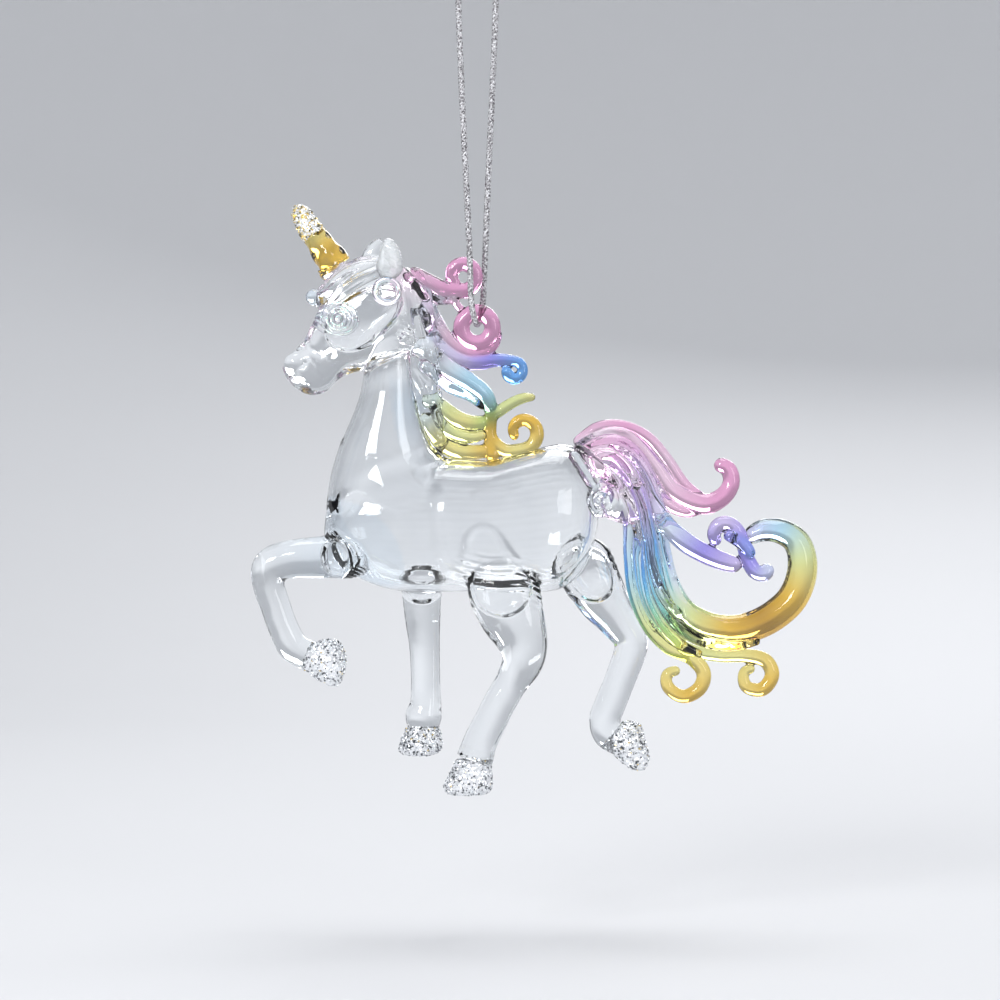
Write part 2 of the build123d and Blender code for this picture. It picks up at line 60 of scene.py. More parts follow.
# Glass tints, as linear colours
TINTS = {
    "clear": (0.965, 0.985, 0.995),
    "ice": (0.84, 0.93, 1.0),
    "pink": (0.95, 0.46, 0.72),
    "rose": (0.97, 0.7, 0.85),
    "lilac": (0.8, 0.68, 0.97),
    "violet": (0.4, 0.34, 0.92),
    "blue": (0.2, 0.48, 0.96),
    "sky": (0.52, 0.82, 0.99),
    "teal": (0.45, 0.82, 0.76),
    "green": (0.5, 0.74, 0.22),
    "moss": (0.16, 0.34, 0.1),
    "lime": (0.84, 0.9, 0.4),
    "yellow": (0.98, 0.88, 0.34),
    "amber": (0.95, 0.6, 0.1),
    "brown": (0.66, 0.38, 0.08),
}


def mm(value):
    """Millimetres in metres."""
    return value / 1000


def at(place, depth=0.0):
    """A place of the picture in the part's frame."""
    along = (place[0] - RING_PIXEL[0]) * PIXEL
    up = (RING_PIXEL[1] - place[1]) * PIXEL - RING_DROP
    return Vector((along, depth, up))


def flow(rows, spans=10):
    """A smooth line through rows of numbers, each column rounded alike."""
    rows = np.asarray(rows, float)
    ends = np.vstack([2 * rows[0] - rows[1], rows, 2 * rows[-1] - rows[-2]])
    share = np.linspace(0, 1, spans, endpoint=False)[:, None]
    pieces = []
    for a, b, c, d in zip(ends, ends[1:], ends[2:], ends[3:]):
        cubic = -a + 3 * b - 3 * c + d
        square = 2 * a - 5 * b + 4 * c - d
        pieces.append(0.5 * (2 * b + (c - a) * share + square * share**2 + cubic * share**3))
    return np.vstack(pieces + [rows[-1:]])


def even(rows, step):
    """The same line with its rows an even step apart along the first three columns."""
    lengths = np.linalg.norm(np.diff(rows[:, :3], axis=0), axis=1)
    far = np.concatenate([[0], np.cumsum(lengths)])
    count = max(int(far[-1] / step), 8)
    places = np.linspace(0, far[-1], count + 1)
    return np.column_stack([np.interp(places, far, column) for column in rows.T]), places


def unit(rows):
    """Rows scaled to length one."""
    return rows / np.maximum(np.linalg.norm(rows, axis=1), 1e-12)[:, None]


def turns(sides):
    """Even angles once round."""
    return np.linspace(0, 2 * math.pi, sides, endpoint=False)


def square_to(line, sideways):
    """Two unit directions square to a line at each of its points."""
    along = unit(np.gradient(line, axis=0))
    across = unit(np.cross(along, sideways))
    return across, np.cross(across, along)


def kd_tree(points):
    """A search tree of points."""
    tree = KDTree(len(points))
    for index, point in enumerate(points):
        tree.insert(point, index)
    tree.balance()
    return tree


def make_object(name, points, faces):
    """A smooth-shaded mesh object from points and faces."""
    mesh = bpy.data.meshes.new(name)
    mesh.from_pydata([tuple(point) for point in points], [], faces)
    mesh.validate()
    mesh.update()
    mesh.shade_smooth()
    obj = bpy.data.objects.new(name, mesh)
    bpy.context.scene.collection.objects.link(obj)
    return obj


def quad(row, side, sides):
    """The corners of one cell between two rings of equal size."""
    after = (side + 1) % sides
    low = row * sides
    return (low + side, low + after, low + sides + after, low + sides + side)


def loft(rings):
    """Points and faces of a closed skin over rings of equal size."""
    sides = len(rings[0])
    points = [point for ring in rings for point in ring]
    faces = [quad(row, side, sides) for row in range(len(rings) - 1) for side in range(sides)]
    for row, turn in ((0, -1), (len(rings) - 1, 1)):
        points.append(np.mean(rings[row], axis=0))
        middle = len(points) - 1
        for side in range(sides):
            pair = (row * sides + side, row * sides + (side + 1) % sides)
            faces.append((middle, *pair[::turn]))
    return points, faces


class Rod:
    """A glass rod: its places in the picture, radii and depths in millimetres, flatness and tints."""

    def __init__(self, places, radii, depths=(0,), flats=(1,), tints="clear", ridges=0, ridge=0.0,
                 twist=0.0, blunt=(False, False)):
        count = len(places)
        shares = np.linspace(0, 1, count)

        def spread(values):
            return np.interp(shares, np.linspace(0, 1, len(values)), values)

        table = np.column_stack([
            [tuple(at(place)) for place in places],
            spread(radii) / 1000,
            spread(flats),
        ])
        table[:, 1] = spread(depths) / 1000
        rows, self.far = even(flow(table), LINE_STEP)
        self.line = rows[:, :3]
        self.radii = rows[:, 3].copy()
        self.flats = rows[:, 4]
        self.tints = np.array([TINTS[tint] for tint in tints.split()])
        self.ridges = ridges
        self.ridge = ridge
        self.twist = twist
        for end, gone in ((self.far, blunt[0]), (self.far[-1] - self.far, blunt[1])):
            if not gone:
                short = np.clip(1 - end / np.maximum(self.radii, 1e-6), 0, 1)
                self.radii = self.radii * np.sqrt(np.clip(1 - short**2, 0.003, 1))

    def tint_rows(self):
        """The tint of each place along the line."""
        shares = self.far / self.far[-1]
        stops = np.linspace(0, 1, len(self.tints))
        return np.column_stack([np.interp(shares, stops, column) for column in self.tints.T])

    def rings(self, sides=22):
        """Oval rings square to the line, with any ridges running along it."""
        across, deep = square_to(self.line, (0.0, 1.0, 0.0))
        turn = turns(sides)
        rings = []
        for row in range(len(self.line)):
            bend = self.twist * self.far[row] * 1000
            swell = 1 + self.ridge * np.cos(self.ridges * turn + bend)
            wide = self.radii[row] * swell[:, None] * np.cos(turn)[:, None] * across[row]
            flat = self.radii[row] * self.flats[row]
            thick = flat * swell[:, None] * np.sin(turn)[:, None] * deep[row]
            rings.append(self.line[row] + wide + thick)
        return rings


def slab_rings(stations, thick_shares, thickness, depth=0.0, inset=0.0, sides=56):
    """Oval rings that each span from one edge place to the other, smoothed along the row."""
    table = []
    for station, share in zip(stations, thick_shares):
        table.append([*at(station[:2], depth), *at(station[2:], depth), share])
    rings = []
    turn = turns(sides)
    for row in flow(table, 6):
        middle = (row[:3] + row[3:6]) / 2
        half = (row[:3] - row[3:6]) / 2
        length = np.linalg.norm(half)
        high = half / length * max(length - inset, 1e-5)
        deep = np.array((0.0, max(row[6] * thickness / 2 - inset, 1e-5), 0.0))
        rings.append(middle + np.cos(turn)[:, None] * high + np.sin(turn)[:, None] * deep)
    return rings


def blob_rings(centre, sizes, tilt=0.0, sides=24):
    """An ellipsoid's rings: sizes along, deep and up in millimetres, turned in the picture's plane."""
    rings = []
    turn = turns(sides)
    lean = Matrix.Rotation(tilt, 3, "Y")
    for angle in np.linspace(0.04, math.pi - 0.04, 14):
        ring = []
        for side in turn:
            wide = math.sin(angle)
            local = Vector((wide * math.cos(side) * sizes[0], wide * math.sin(side) * sizes[1],
                            math.cos(angle) * sizes[2]))
            ring.append(np.array(Vector(centre) + lean @ local / 1000))
        rings.append(np.array(ring))
    return rings


def tube_ring(centre, radius, rod, axis=(0, 1, 0), sides=16, steps=56):
    """Points and faces of a torus about an axis."""
    spin = Vector((0, 0, 1)).rotation_difference(Vector(axis)).to_matrix()
    points = []
    faces = []
    for step in range(steps):
        turn = 2 * math.pi * step / steps
        for side in range(sides):
            roll = 2 * math.pi * side / sides
            reach = radius + rod * math.cos(roll)
            points.append(Vector(centre) + spin @ Vector((reach * math.cos(turn), reach * math.sin(turn),
                                                          rod * math.sin(roll))))
    for step in range(steps):
        for side in range(sides):
            low = step * sides + side
            low_next = step * sides + (side + 1) % sides
            high = (step + 1) % steps * sides + side
            high_next = (step + 1) % steps * sides + (side + 1) % sides
            faces.append((low, high, high_next, low_next))
    return points, faces


def merged(skins):
    """Points and faces of several skins together."""
    points = []
    faces = []
    for skin_points, skin_faces in skins:
        start = len(points)
        points += [tuple(point) for point in skin_points]
        faces += [tuple(index + start for index in face) for face in skin_faces]
    return points, faces


def rod_skins(rods):
    """The skin of each rod."""
    return [loft(rod.rings()) for rod in rods]


def fuse(name, skins, size):
    """One closed mesh round several overlapping skins."""
    obj = make_object(name, *merged(skins))
    fused = obj.modifiers.new("fuse", "REMESH")
    fused.mode = "VOXEL"
    fused.voxel_size = size
    graph = bpy.context.evaluated_depsgraph_get()
    mesh = bpy.data.meshes.new_from_object(obj.evaluated_get(graph))
    obj.modifiers.clear()
    obj.data = mesh
    mesh.name = name
    return obj


def places_of(mesh):
    """A mesh's points as rows."""
    places = np.zeros(len(mesh.vertices) * 3)
    mesh.vertices.foreach_get("co", places)
    return places.reshape(-1, 3)


def set_places(mesh, places):
    """Moves a mesh's points."""
    mesh.vertices.foreach_set("co", places.ravel())
    mesh.update()


def normals_of(mesh):
    """A mesh's point normals as rows."""
    normals = np.zeros(len(mesh.vertices) * 3)
    mesh.vertex_normals.foreach_get("vector", normals)
    return normals.reshape(-1, 3)


def relax(obj, rounds, share=1.0, pushes=(0.5, -0.51)):
    """Smooths a mesh without shrinking it; share says how much of each move a point makes."""
    mesh = obj.data
    edges = np.zeros(len(mesh.edges) * 2, int)
    mesh.edges.foreach_get("vertices", edges)
    edges = edges.reshape(-1, 2)
    places = places_of(mesh)
    count = len(places)
    degree = np.bincount(edges.ravel(), minlength=count)[:, None]
    for push in pushes * rounds:
        total = np.zeros_like(places)
        for axis in range(3):
            total[:, axis] += np.bincount(edges[:, 0], places[edges[:, 1], axis], count)
            total[:, axis] += np.bincount(edges[:, 1], places[edges[:, 0], axis], count)
        places += push * share * (total / np.maximum(degree, 1) - places)
    set_places(mesh, places)
    mesh.shade_smooth()


def near_line(places, depth):
    """A line of places of the picture at one depth in millimetres, as rows."""
    return np.array([tuple(at(place, mm(depth))) for place in places])


def reach_of(places, line, radius):
    """How far a line's pull reaches each place: one on the line, nothing a radius away."""
    tree = kd_tree(flow(line, 12))
    far = np.array([tree.find(place)[2] for place in places])
    return np.clip(1 - (far / radius) ** 2, 0, 1)


def soften(obj, line, radius, rounds):
    """Melts a crease near a line into a round fillet."""
    relax(obj, rounds, reach_of(places_of(obj.data), line, radius)[:, None], (0.5,))


def push_skin(obj, line, radius, side, height):
    """Moves the skin near a line along its normals; side -1 is the near side only, 1 the far side."""
    mesh = obj.data
    places = places_of(mesh)
    low = np.min(line, axis=0) - radius
    high = np.max(line, axis=0) + radius
    near = np.all((places > low) & (places < high), axis=1)
    if side:
        near &= places[:, 1] * side > 0
    chosen = np.nonzero(near)[0]
    moves = height(places[chosen], reach_of(places[chosen], line, radius))
    places[chosen] += normals_of(mesh)[chosen] * moves[:, None]
    set_places(mesh, places)


def press(obj, places, depth, radius, dent, side=0):
    """Pushes the skin in along a line of the picture."""
    push_skin(obj, near_line(places, depth), mm(radius), side, lambda spots, reach: -(reach**2 * mm(dent)))


def crimp(obj, places, depth, radius, height, pitch, tilt=0.0, side=0):
    """Wavy bands across the skin near a line, as where a hot limb was pushed on."""

    def waves(spots, reach):
        x, y, z = spots.T
        bend = mm(0.5) * np.sin(x / mm(2.3) + y / mm(1.7)) + tilt * x
        return reach * mm(height) * np.sin((z + bend) * 2 * math.pi / mm(pitch))

    push_skin(obj, near_line(places, depth), mm(radius), side, waves)


def paint(obj, rods):
    """Gives each point of a fused skin the tint of the rods nearest to it."""
    samples = np.vstack([rod.line[::2] for rod in rods])
    tints = np.vstack([rod.tint_rows()[::2] for rod in rods])
    radii = np.concatenate([rod.radii[::2] for rod in rods])
    tree = kd_tree(samples)
    colours = np.ones((len(obj.data.vertices), 4))
    for row, place in enumerate(places_of(obj.data)):
        hits = tree.find_n(place, 7)
        index = np.array([hit[1] for hit in hits])
        gap = np.maximum(np.array([hit[2] for hit in hits]) - radii[index], 0)
        weight = np.exp(-(gap / mm(0.45)) ** 2) + 1e-9
        colours[row, :3] = (tints[index] * weight[:, None]).sum(0) / weight.sum()
    layer = obj.data.color_attributes.new("tint", "FLOAT_COLOR", "POINT")
    layer.data.foreach_set("color", colours.ravel())


def drawn_in(stations, wall):
    """The same stations with each end drawn in along the picture by a wall."""
    middles = [(station[0] + station[2]) / 2 for station in stations]
    centre = (min(middles) + max(middles)) / 2
    share = 1 - wall / PIXEL / (max(middles) - centre)
    return [(centre + (x - centre) * share, y, centre + (far_x - centre) * share, far_y)
            for x, y, far_x, far_y in stations]


def add_inner(obj, name, rings_list, size):
    """Adds a blown hollow inside a skin: an inner skin facing inwards."""
    hollow = fuse(name, [loft(rings) for rings in rings_list], size)
    relax(hollow, RELAX_ROUNDS + 12)
    hollow.data.flip_normals()
    bpy.ops.object.select_all(action="DESELECT")
    hollow.select_set(True)
    obj.select_set(True)
    bpy.context.view_layer.objects.active = obj
    bpy.ops.object.join()


# Materials


def set_inputs(node, values):
    """Sets a node's inputs by their names."""
    for name, value in values.items():
        node.inputs[name].default_value = value


def node_material(name, values):
    """A material with only its shader and output, and its tree and shader."""
    material = bpy.data.materials.new(name)
    material.use_nodes = True
    shader = material.node_tree.nodes["Principled BSDF"]
    set_inputs(shader, values)
    return material, material.node_tree, shader


def ramp_node(tree, source, stops, kind="LINEAR"):
    """A colour ramp over rising stops of place and colour, fed by another node."""
    ramp = tree.nodes.new("ShaderNodeValToRGB")
    ramp.color_ramp.interpolation = kind
    elements = ramp.color_ramp.elements
    elements[0].position = stops[0][0]
    elements[0].color = (*stops[0][1], 1)
    elements[1].position = stops[-1][0]
    elements[1].color = (*stops[-1][1], 1)
    for place, colour in stops[1:-1]:
        elements.new(place).color = (*colour, 1)
    tree.links.new(source.outputs["Fac"], ramp.inputs["Fac"])
    return ramp


def bumped(tree, shader, scale, strength, distance, detail=3.0):
    """Fine unevenness for a shader's normal."""
    where = tree.nodes.new("ShaderNodeTexCoord")
    noise = tree.nodes.new("ShaderNodeTexNoise")
    set_inputs(noise, {"Scale": scale, "Detail": detail})
    bump = tree.nodes.new("ShaderNodeBump")
    set_inputs(bump, {"Strength": strength, "Distance": mm(distance)})
    tree.links.new(where.outputs["Object"], noise.inputs["Vector"])
    tree.links.new(noise.outputs["Fac"], bump.inputs["Height"])
    tree.links.new(bump.outputs["Normal"], shader.inputs["Normal"])
    return noise


def glass_material(name, tinted, scale, strength, distance=0.3, roughness=0.0, transmission=1.0):
    """Clear or tinted glass: its tint from the painted layer, with faint streaks from drawing."""
    material, tree, shader = node_material(
        name, {"Transmission Weight": transmission, "Roughness": roughness, "IOR": 1.5})
    noise = bumped(tree, shader, scale, strength, distance)
    mix = tree.nodes.new("ShaderNodeMix")
    mix.data_type = "RGBA"
    mix.blend_type = "MULTIPLY"
    mix.inputs["Factor"].default_value = 1.0
    streak = ramp_node(tree, noise, [(0.0, (0.93, 0.94, 0.95)), (1.0, (1, 1, 1))])
    tree.links.new(streak.outputs["Color"], mix.inputs["B"])
    if tinted:
        layer = tree.nodes.new("ShaderNodeAttribute")
        layer.attribute_name = "tint"
        tree.links.new(layer.outputs["Color"], mix.inputs["A"])
    else:
        mix.inputs["A"].default_value = (*TINTS["clear"], 1)
    tree.links.new(mix.outputs["Result"], shader.inputs["Base Color"])
    return material


clear_glass = glass_material("clear_glass", False, 180, 0.1)
set_inputs(clear_glass.node_tree.nodes["Principled BSDF"],
           {"Thin Film Thickness": 380.0, "Thin Film IOR": 1.7})
tinted_glass = glass_material("tinted_glass", True, 240, 0.12)
frosted = glass_material("frosted_glass", False, 1100, 0.9, 0.2, 0.26, 0.62)


def glitter_material(name, light, dark, gold_share):
    """Glitter grains: silver flakes with some dark and some gold ones, by grain."""
    material, tree, shader = node_material(name, {"Metallic": 0.75, "Roughness": 0.22})
    layer = tree.nodes.new("ShaderNodeAttribute")
    layer.attribute_name = "grain"
    stops = [(0.0, dark), (0.26, light), (0.45, (0.97, 0.98, 1.0)), (1 - gold_share, (0.95, 0.72, 0.25))]
    ramp = ramp_node(tree, layer, stops, "CONSTANT")
    tree.links.new(ramp.outputs["Color"], shader.inputs["Base Color"])
    bumped(tree, shader, 1500, 0.3, 0.05)
    return material


silver_glitter = glitter_material("silver_glitter", (0.75, 0.78, 0.8), (0.12, 0.13, 0.14), 0.02)
gold_glitter = glitter_material("gold_glitter", (0.8, 0.78, 0.68), (0.2, 0.18, 0.1), 0.3)


def cord_material():
    """Silver braid: bright and dull metallic filaments."""
    material, tree, shader = node_material("silver_cord", {"Metallic": 0.6, "Roughness": 0.38})
    noise = bumped(tree, shader, 2600, 0.6, 0.08, detail=5)
    ramp = ramp_node(tree, noise, [(0.38, (0.16, 0.15, 0.16)), (0.62, (0.88, 0.88, 0.9))])
    tree.links.new(ramp.outputs["Color"], shader.inputs["Base Color"])
    return material


silver_cord = cord_material()
fuse_size = FUSE_SIZE


def dress(obj, material, nodes, body="unicorn"):
    """A piece's finish, its body and the nodes it stands for."""
    obj.data.materials.clear()
    obj.data.materials.append(material)
    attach(obj, body)
    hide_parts(*nodes.split())


# Camera

camera = bpy.data.objects.new("camera", bpy.data.cameras.new("camera"))
bpy.context.scene.collection.objects.link(camera)
camera.data.lens = 108
camera.data.sensor_width = 36
camera.location = (mm(4.6), mm(-600), mm(-112.4))
camera.rotation_euler = (math.radians(90), 0, 0)
bpy.context.scene.camera = camera

# Cord loop: hook, left strand in front, through the ring, right strand behind

CORD_POINTS = [
    (-0.0003, 0.0, 0.0006), (-0.0024, 0.0, 0.0006), (-0.0038, 0.0, -0.0009), (-0.0038, 0.0, -0.0040),
    (-0.0038, 0.0, -0.0120), (-0.0032, -0.0006, -0.0280), (-0.0022, -0.0014, -0.0480),
    (-0.0014, -0.0021, -0.0640), (-0.0012, -0.00238, -0.0734), (-0.0003, -0.00238, -0.07728),
    (0.0003, 0.00238, -0.07728), (0.0012, 0.00238, -0.0734), (0.0016, 0.0021, -0.0640),
    (0.0022, 0.0014, -0.0480), (0.0032, 0.0006, -0.0280), (0.0038, 0.0, -0.0120), (0.0038, 0.0, -0.0040),
    (0.0038, 0.0, -0.0009), (0.0024, 0.0, 0.0006), (0.0003, 0.0, 0.0006),
]


def nurbs_line(points):
    """Points along the smooth route that the control points give."""
    curve = bpy.data.curves.new("route", "CURVE")
    curve.dimensions = "3D"
    curve.resolution_u = 24
    spline = curve.splines.new("NURBS")
    spline.points.add(len(points) - 1)
    for point, place in zip(spline.points, points):
        point.co = (*place, 1)
    spline.order_u = 3
    spline.use_endpoint_u = True
    route = bpy.data.objects.new("route", curve)
    bpy.context.scene.collection.objects.link(route)
    graph = bpy.context.evaluated_depsgraph_get()
    mesh = bpy.data.meshes.new_from_object(route.evaluated_get(graph))
    line = places_of(mesh)
    bpy.data.objects.remove(route)
    bpy.data.meshes.remove(mesh)
    return line


# A direction that no stretch of the cord runs along
ASKEW = (0.13, 1.0, 0.21)


def strand_skin(line, radius, sides=6):
    """Points and faces of one round filament along a line."""
    turn = turns(sides)
    rings = [place + radius * (np.cos(turn)[:, None] * wide + np.sin(turn)[:, None] * thick)
             for place, wide, thick in zip(line, *square_to(line, ASKEW))]
    return loft(rings)


def braid(line, strands, pitch, reach, filament, step):
    """Skins of filaments that cross over and under each other round a line."""
    rows, far = even(line, step)
    across, deep = square_to(rows, ASKEW)
    skins = []
    for hand in (-1, 1):
        for number in range(strands):
            turn = hand * 2 * math.pi * far / pitch + 2 * math.pi * number / strands
            over = reach + 0.35 * filament * hand * np.cos(2 * math.pi * far / pitch * strands)
            wound = np.cos(turn)[:, None] * across + np.sin(turn)[:, None] * deep
            skins.append(strand_skin(rows + over[:, None] * wound, filament))
    skins.append(strand_skin(rows, reach * 0.95, 8))
    return skins


def outward(points, faces):
    """A closed skin's faces, turned to face outwards."""
    places = np.array([tuple(point) for point in points])
    corners = np.array([(face[0], face[turn], face[turn + 1])
                        for face in faces for turn in range(1, len(face) - 1)])
    a, b, c = places[corners.T]
    volume = (a * np.cross(b, c)).sum()
    return faces if volume > 0 else [face[::-1] for face in faces]


def join_skins(name, skins):
    """One object from several skins, each facing outwards."""
    return make_object(name, *merged([(points, outward(points, faces)) for points, faces in skins]))


# The braid's filaments each way, pitch, reach from the line, filament radius and step
BRAID = (4, mm(3.2), mm(0.4), mm(0.2), mm(0.16))
CUT_END_BRAID = (4, mm(3.2), mm(0.38), mm(0.19), mm(0.16))
KNOT_LIFT = mm(1.75)
cord_line = nurbs_line(CORD_POINTS)
cord = join_skins("cord_loop", braid(cord_line, *BRAID))
cord.data.materials.append(silver_cord)


def knot_line():
    """An overhand knot's line above the crest."""
    rows = []
    for step in range(90):
        turn = 2 * math.pi * step / 90 * 1.12
        reach = mm(0.85) + mm(0.38) * math.cos(3 * turn / 2)
        rows.append((reach * math.cos(turn), reach * math.sin(turn) * 0.9,
                     KNOT_LIFT + mm(0.55) * math.sin(3 * turn / 2)))
    return np.array(rows)


def tail_line(side):
    """One cut end of the cord standing out of the knot."""
    rows = []
    for step in range(24):
        share = step / 23
        rows.append((side * (mm(0.4) + mm(1.9) * share), side * mm(0.8) * share * share,
                     KNOT_LIFT + mm(0.3) + mm(4.6) * share - mm(0.5) * share * share))
    return np.array(rows)


knot_skins = braid(knot_line(), *BRAID)
for knot_side in (-1, 1):
    knot_skins += braid(tail_line(knot_side), *CUT_END_BRAID)
knot = join_skins("cord_overhand_knot", knot_skins)
dress(knot, silver_cord, "cord_knot", "loop_top")
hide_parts("cord_crest", "cord_strands")
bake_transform(cord)

# The figure: barrel, neck, head, crest and limbs, blown and fused in one

BODY_STATIONS = [
    (325, 518, 325, 542), (331, 503, 331, 556), (345, 484, 345, 570), (370, 468, 370, 583),
    (400, 460, 400, 591), (440, 458, 440, 592), (490, 459, 490, 591), (530, 450, 530, 592),
    (560, 444, 560, 589), (579, 449, 579, 575), (591, 462, 591, 554), (598, 484, 598, 524),
]
BODY_THICK = [0.22, 0.52, 0.78, 0.94, 1.0, 1.0, 1.0, 1.0, 0.96, 0.8, 0.56, 0.24]
NECK_STATIONS = [
    (326, 520, 452, 478), (326, 505, 449, 461), (330, 478, 437, 449), (338, 450, 428, 424),
    (349, 424, 423, 402), (359, 398, 420, 380), (364, 372, 417, 350), (368, 345, 414, 318),
]
NECK_THICK = [1.18, 1.16, 1.1, 1.0, 0.9, 0.82, 0.76, 0.7]
HEAD_STATIONS = [
    (408, 274, 421, 292), (397, 263, 420, 330), (380, 262, 412, 351), (362, 266, 394, 358),
    (344, 276, 374, 368), (327, 292, 352, 373), (316, 315, 338, 380), (305, 338, 325, 392),
    (295, 350, 309, 395), (286, 359, 296, 388), (282, 368, 287, 379),
]
HEAD_THICK = [0.36, 0.72, 0.94, 1.0, 0.98, 0.9, 0.76, 0.62, 0.56, 0.44, 0.18]
SHOULDER_STATIONS = [
    (341, 440, 427, 420), (334, 465, 434, 442), (330, 490, 446, 462), (331, 512, 462, 478),
    (338, 535, 476, 500), (352, 552, 480, 525),
]
SHOULDER_THICK = [0.64, 0.76, 0.87, 0.94, 0.96, 0.68]
BODY_THICKNESS = mm(21)
NECK_THICKNESS = mm(15.5)
HEAD_THICKNESS = mm(11.5)
BODY_WALL = mm(1.3)
NECK_WALL = mm(1.05)
FORE_DEPTH = 5.67
HIND_DEPTH = 6.3

LIMBS = [
    Rod([(372, 556), (345, 556), (315, 557), (291, 559), (273, 566), (271, 584), (278, 606), (286, 628),
         (297, 647), (318, 657)],
        [4.8, 4.5, 4.1, 3.8, 3.7, 3.2, 3, 3, 3.1, 2.9], [-FORE_DEPTH], tints="ice clear clear",
        blunt=(False, True)),
    Rod([(420, 565), (421, 590), (422, 620), (424, 650), (425, 685), (425, 705), (423, 718), (422, 730)],
        [4.7, 4.2, 3.6, 3.1, 3, 3.2, 3.7, 3.2], [FORE_DEPTH], blunt=(False, True)),
    Rod([(484, 548), (493, 566), (504, 590), (512, 614), (522, 640), (522, 660), (511, 681), (500, 700),
         (491, 718), (481, 738), (475, 757)],
        [4.4, 6.2, 7.2, 6.5, 5.1, 4.2, 3.3, 3.3, 3.3, 3.4, 3.7], [-HIND_DEPTH],
        [0.5, 0.5, 0.6, 0.75, 0.9, 1, 1, 1, 1], blunt=(False, True)),
    Rod([(572, 540), (588, 572), (604, 600), (620, 622), (632, 640), (631, 655), (625, 672), (618, 690),
         (611, 707), (606, 722), (610, 737), (626, 746)],
        [6.5, 6.2, 5.2, 4.1, 3.5, 3.3, 3.2, 3.15, 3.2, 3.2, 3.1, 2.9], [HIND_DEPTH],
        [0.6, 0.65, 0.8, 0.95, 1, 1, 1], blunt=(False, True)),
]
CREST = [
    Rod([(403, 270), (417, 298), (422, 335), (424, 375), (429, 415), (442, 452)],
        [2.5, 3.1, 3.1, 2.7, 2.3, 2], flats=[1, 1.2, 1.3, 1.3, 1.2, 1]),
]
CREST_STRANDS = [(-13, -3, 0.95), (-8, -3.9, 1.05), (-2, -4.2, 1), (4, -3.6, 1), (9, -2.2, 0.95),
                 (12, 0, 1), (8, 2.4, 0.95), (2, 3.7, 1), (-5, 4.1, 1.05), (-11, 3.4, 0.95)]
for strand, (shift, depth, radius) in enumerate(CREST_STRANDS):
    sway = 3 * math.sin(strand * 2.1)
    CREST.append(Rod(
        [(402 + shift * 0.3, 268), (413 + shift * 0.7, 288), (421 + shift * 0.9 + sway, 318),
         (424 + shift * 0.8, 350), (425 + shift * 0.8 - sway, 384), (430 + shift * 0.7, 416),
         (440 + shift * 0.6, 446)],
        [0.6, radius, radius * 1.1, radius * 1.05, radius, radius * 0.9, 0.6],
        [depth * 0.55, depth * 0.9, depth, depth, depth * 0.85, depth * 0.8, depth * 0.6],
        tints="rose clear clear ice clear"))
for sweep in range(7):
    for depth in (-3.7, 3.7):
        CREST.append(Rod(
            [(403 + sweep, 276 + 13 * sweep), (415, 286 + 14 * sweep), (427, 303 + 15 * sweep),
             (433, 326 + 16 * sweep), (441, 342 + 16 * sweep)],
            [0.5, 0.95, 1, 0.8, 0.5], [depth * 0.9, depth, depth, depth * 0.7, depth * 0.3],
            tints="clear rose clear" if sweep < 2 else "clear"))
FORELOCK = [
    Rod([(382, 268), (358, 273), (340, 284), (326, 298), (316, 299), (311, 291)],
        [1.4, 1.7, 1.7, 1.6, 1.6, 2], [-2.2, -3.2, -3.6, -2.6, -1.6, -0.8], tints="clear clear ice"),
    Rod([(384, 263), (362, 264), (343, 275), (330, 288), (319, 293)], [1.2, 1.4, 1.3, 1.3, 1.2],
        [-0.6, -1.6, -2.2, -1.6, -0.8], tints="clear rose"),
    Rod([(384, 272), (362, 280), (345, 291), (330, 305)], [1.1, 1.2, 1.2, 0.7], [-3.6, -4.4, -4.4, -3.4]),
    Rod([(386, 262), (364, 264), (346, 275), (330, 289), (318, 297)], [1.2, 1.4, 1.3, 1.2, 1],
        [1.4, 2.4, 2.8, 2.2, 1]),
    Rod([(386, 268), (364, 274), (346, 286), (333, 300)], [1.1, 1.3, 1.2, 0.7], [3.2, 4, 4.2, 3.4]),
]
HEAD_EXTRAS = [
    Rod([(341, 286), (336, 275), (333, 266)], [2.5, 2.9, 3.3], blunt=(False, True)),
    Rod([(371, 276), (371, 260), (376, 247), (381, 237)], [2.1, 2.3, 1.8, 0.7], [3.4], [0.5]),
]
# Swellings of the head: place, depth and sizes; the first three stand on both sides
HEAD_PAIRS = [((386, 326), 2.9, (4.6, 2.9, 4.8)), ((340, 312), 3.4, (2.5, 1.6, 1.9)),
              ((296, 364), 1.4, (2.3, 1.8, 2.2))]
HEAD_BLOBS = [(place, side * depth, sizes) for place, depth, sizes in HEAD_PAIRS for side in (-1, 1)]
HEAD_BLOBS += [((308, 386), 0, (2.2, 2.3, 1.5)), ((407, 341), -4.1, (2.1, 2, 2.1))]

FIGURE_SLABS = [
    (BODY_STATIONS, BODY_THICK, BODY_THICKNESS), (NECK_STATIONS, NECK_THICK, NECK_THICKNESS),
    (SHOULDER_STATIONS, SHOULDER_THICK, BODY_THICKNESS), (HEAD_STATIONS, HEAD_THICK, HEAD_THICKNESS)]
figure_skins = [loft(slab_rings(*slab)) for slab in FIGURE_SLABS]
figure_rods = LIMBS + CREST + FORELOCK + HEAD_EXTRAS
figure_skins += rod_skins(figure_rods)
figure_skins += [loft(blob_rings(at(place, mm(depth)), sizes)) for place, depth, sizes in HEAD_BLOBS]
figure = fuse("clear_glass_figure", figure_skins, fuse_size)
relax(figure, RELAX_ROUNDS)

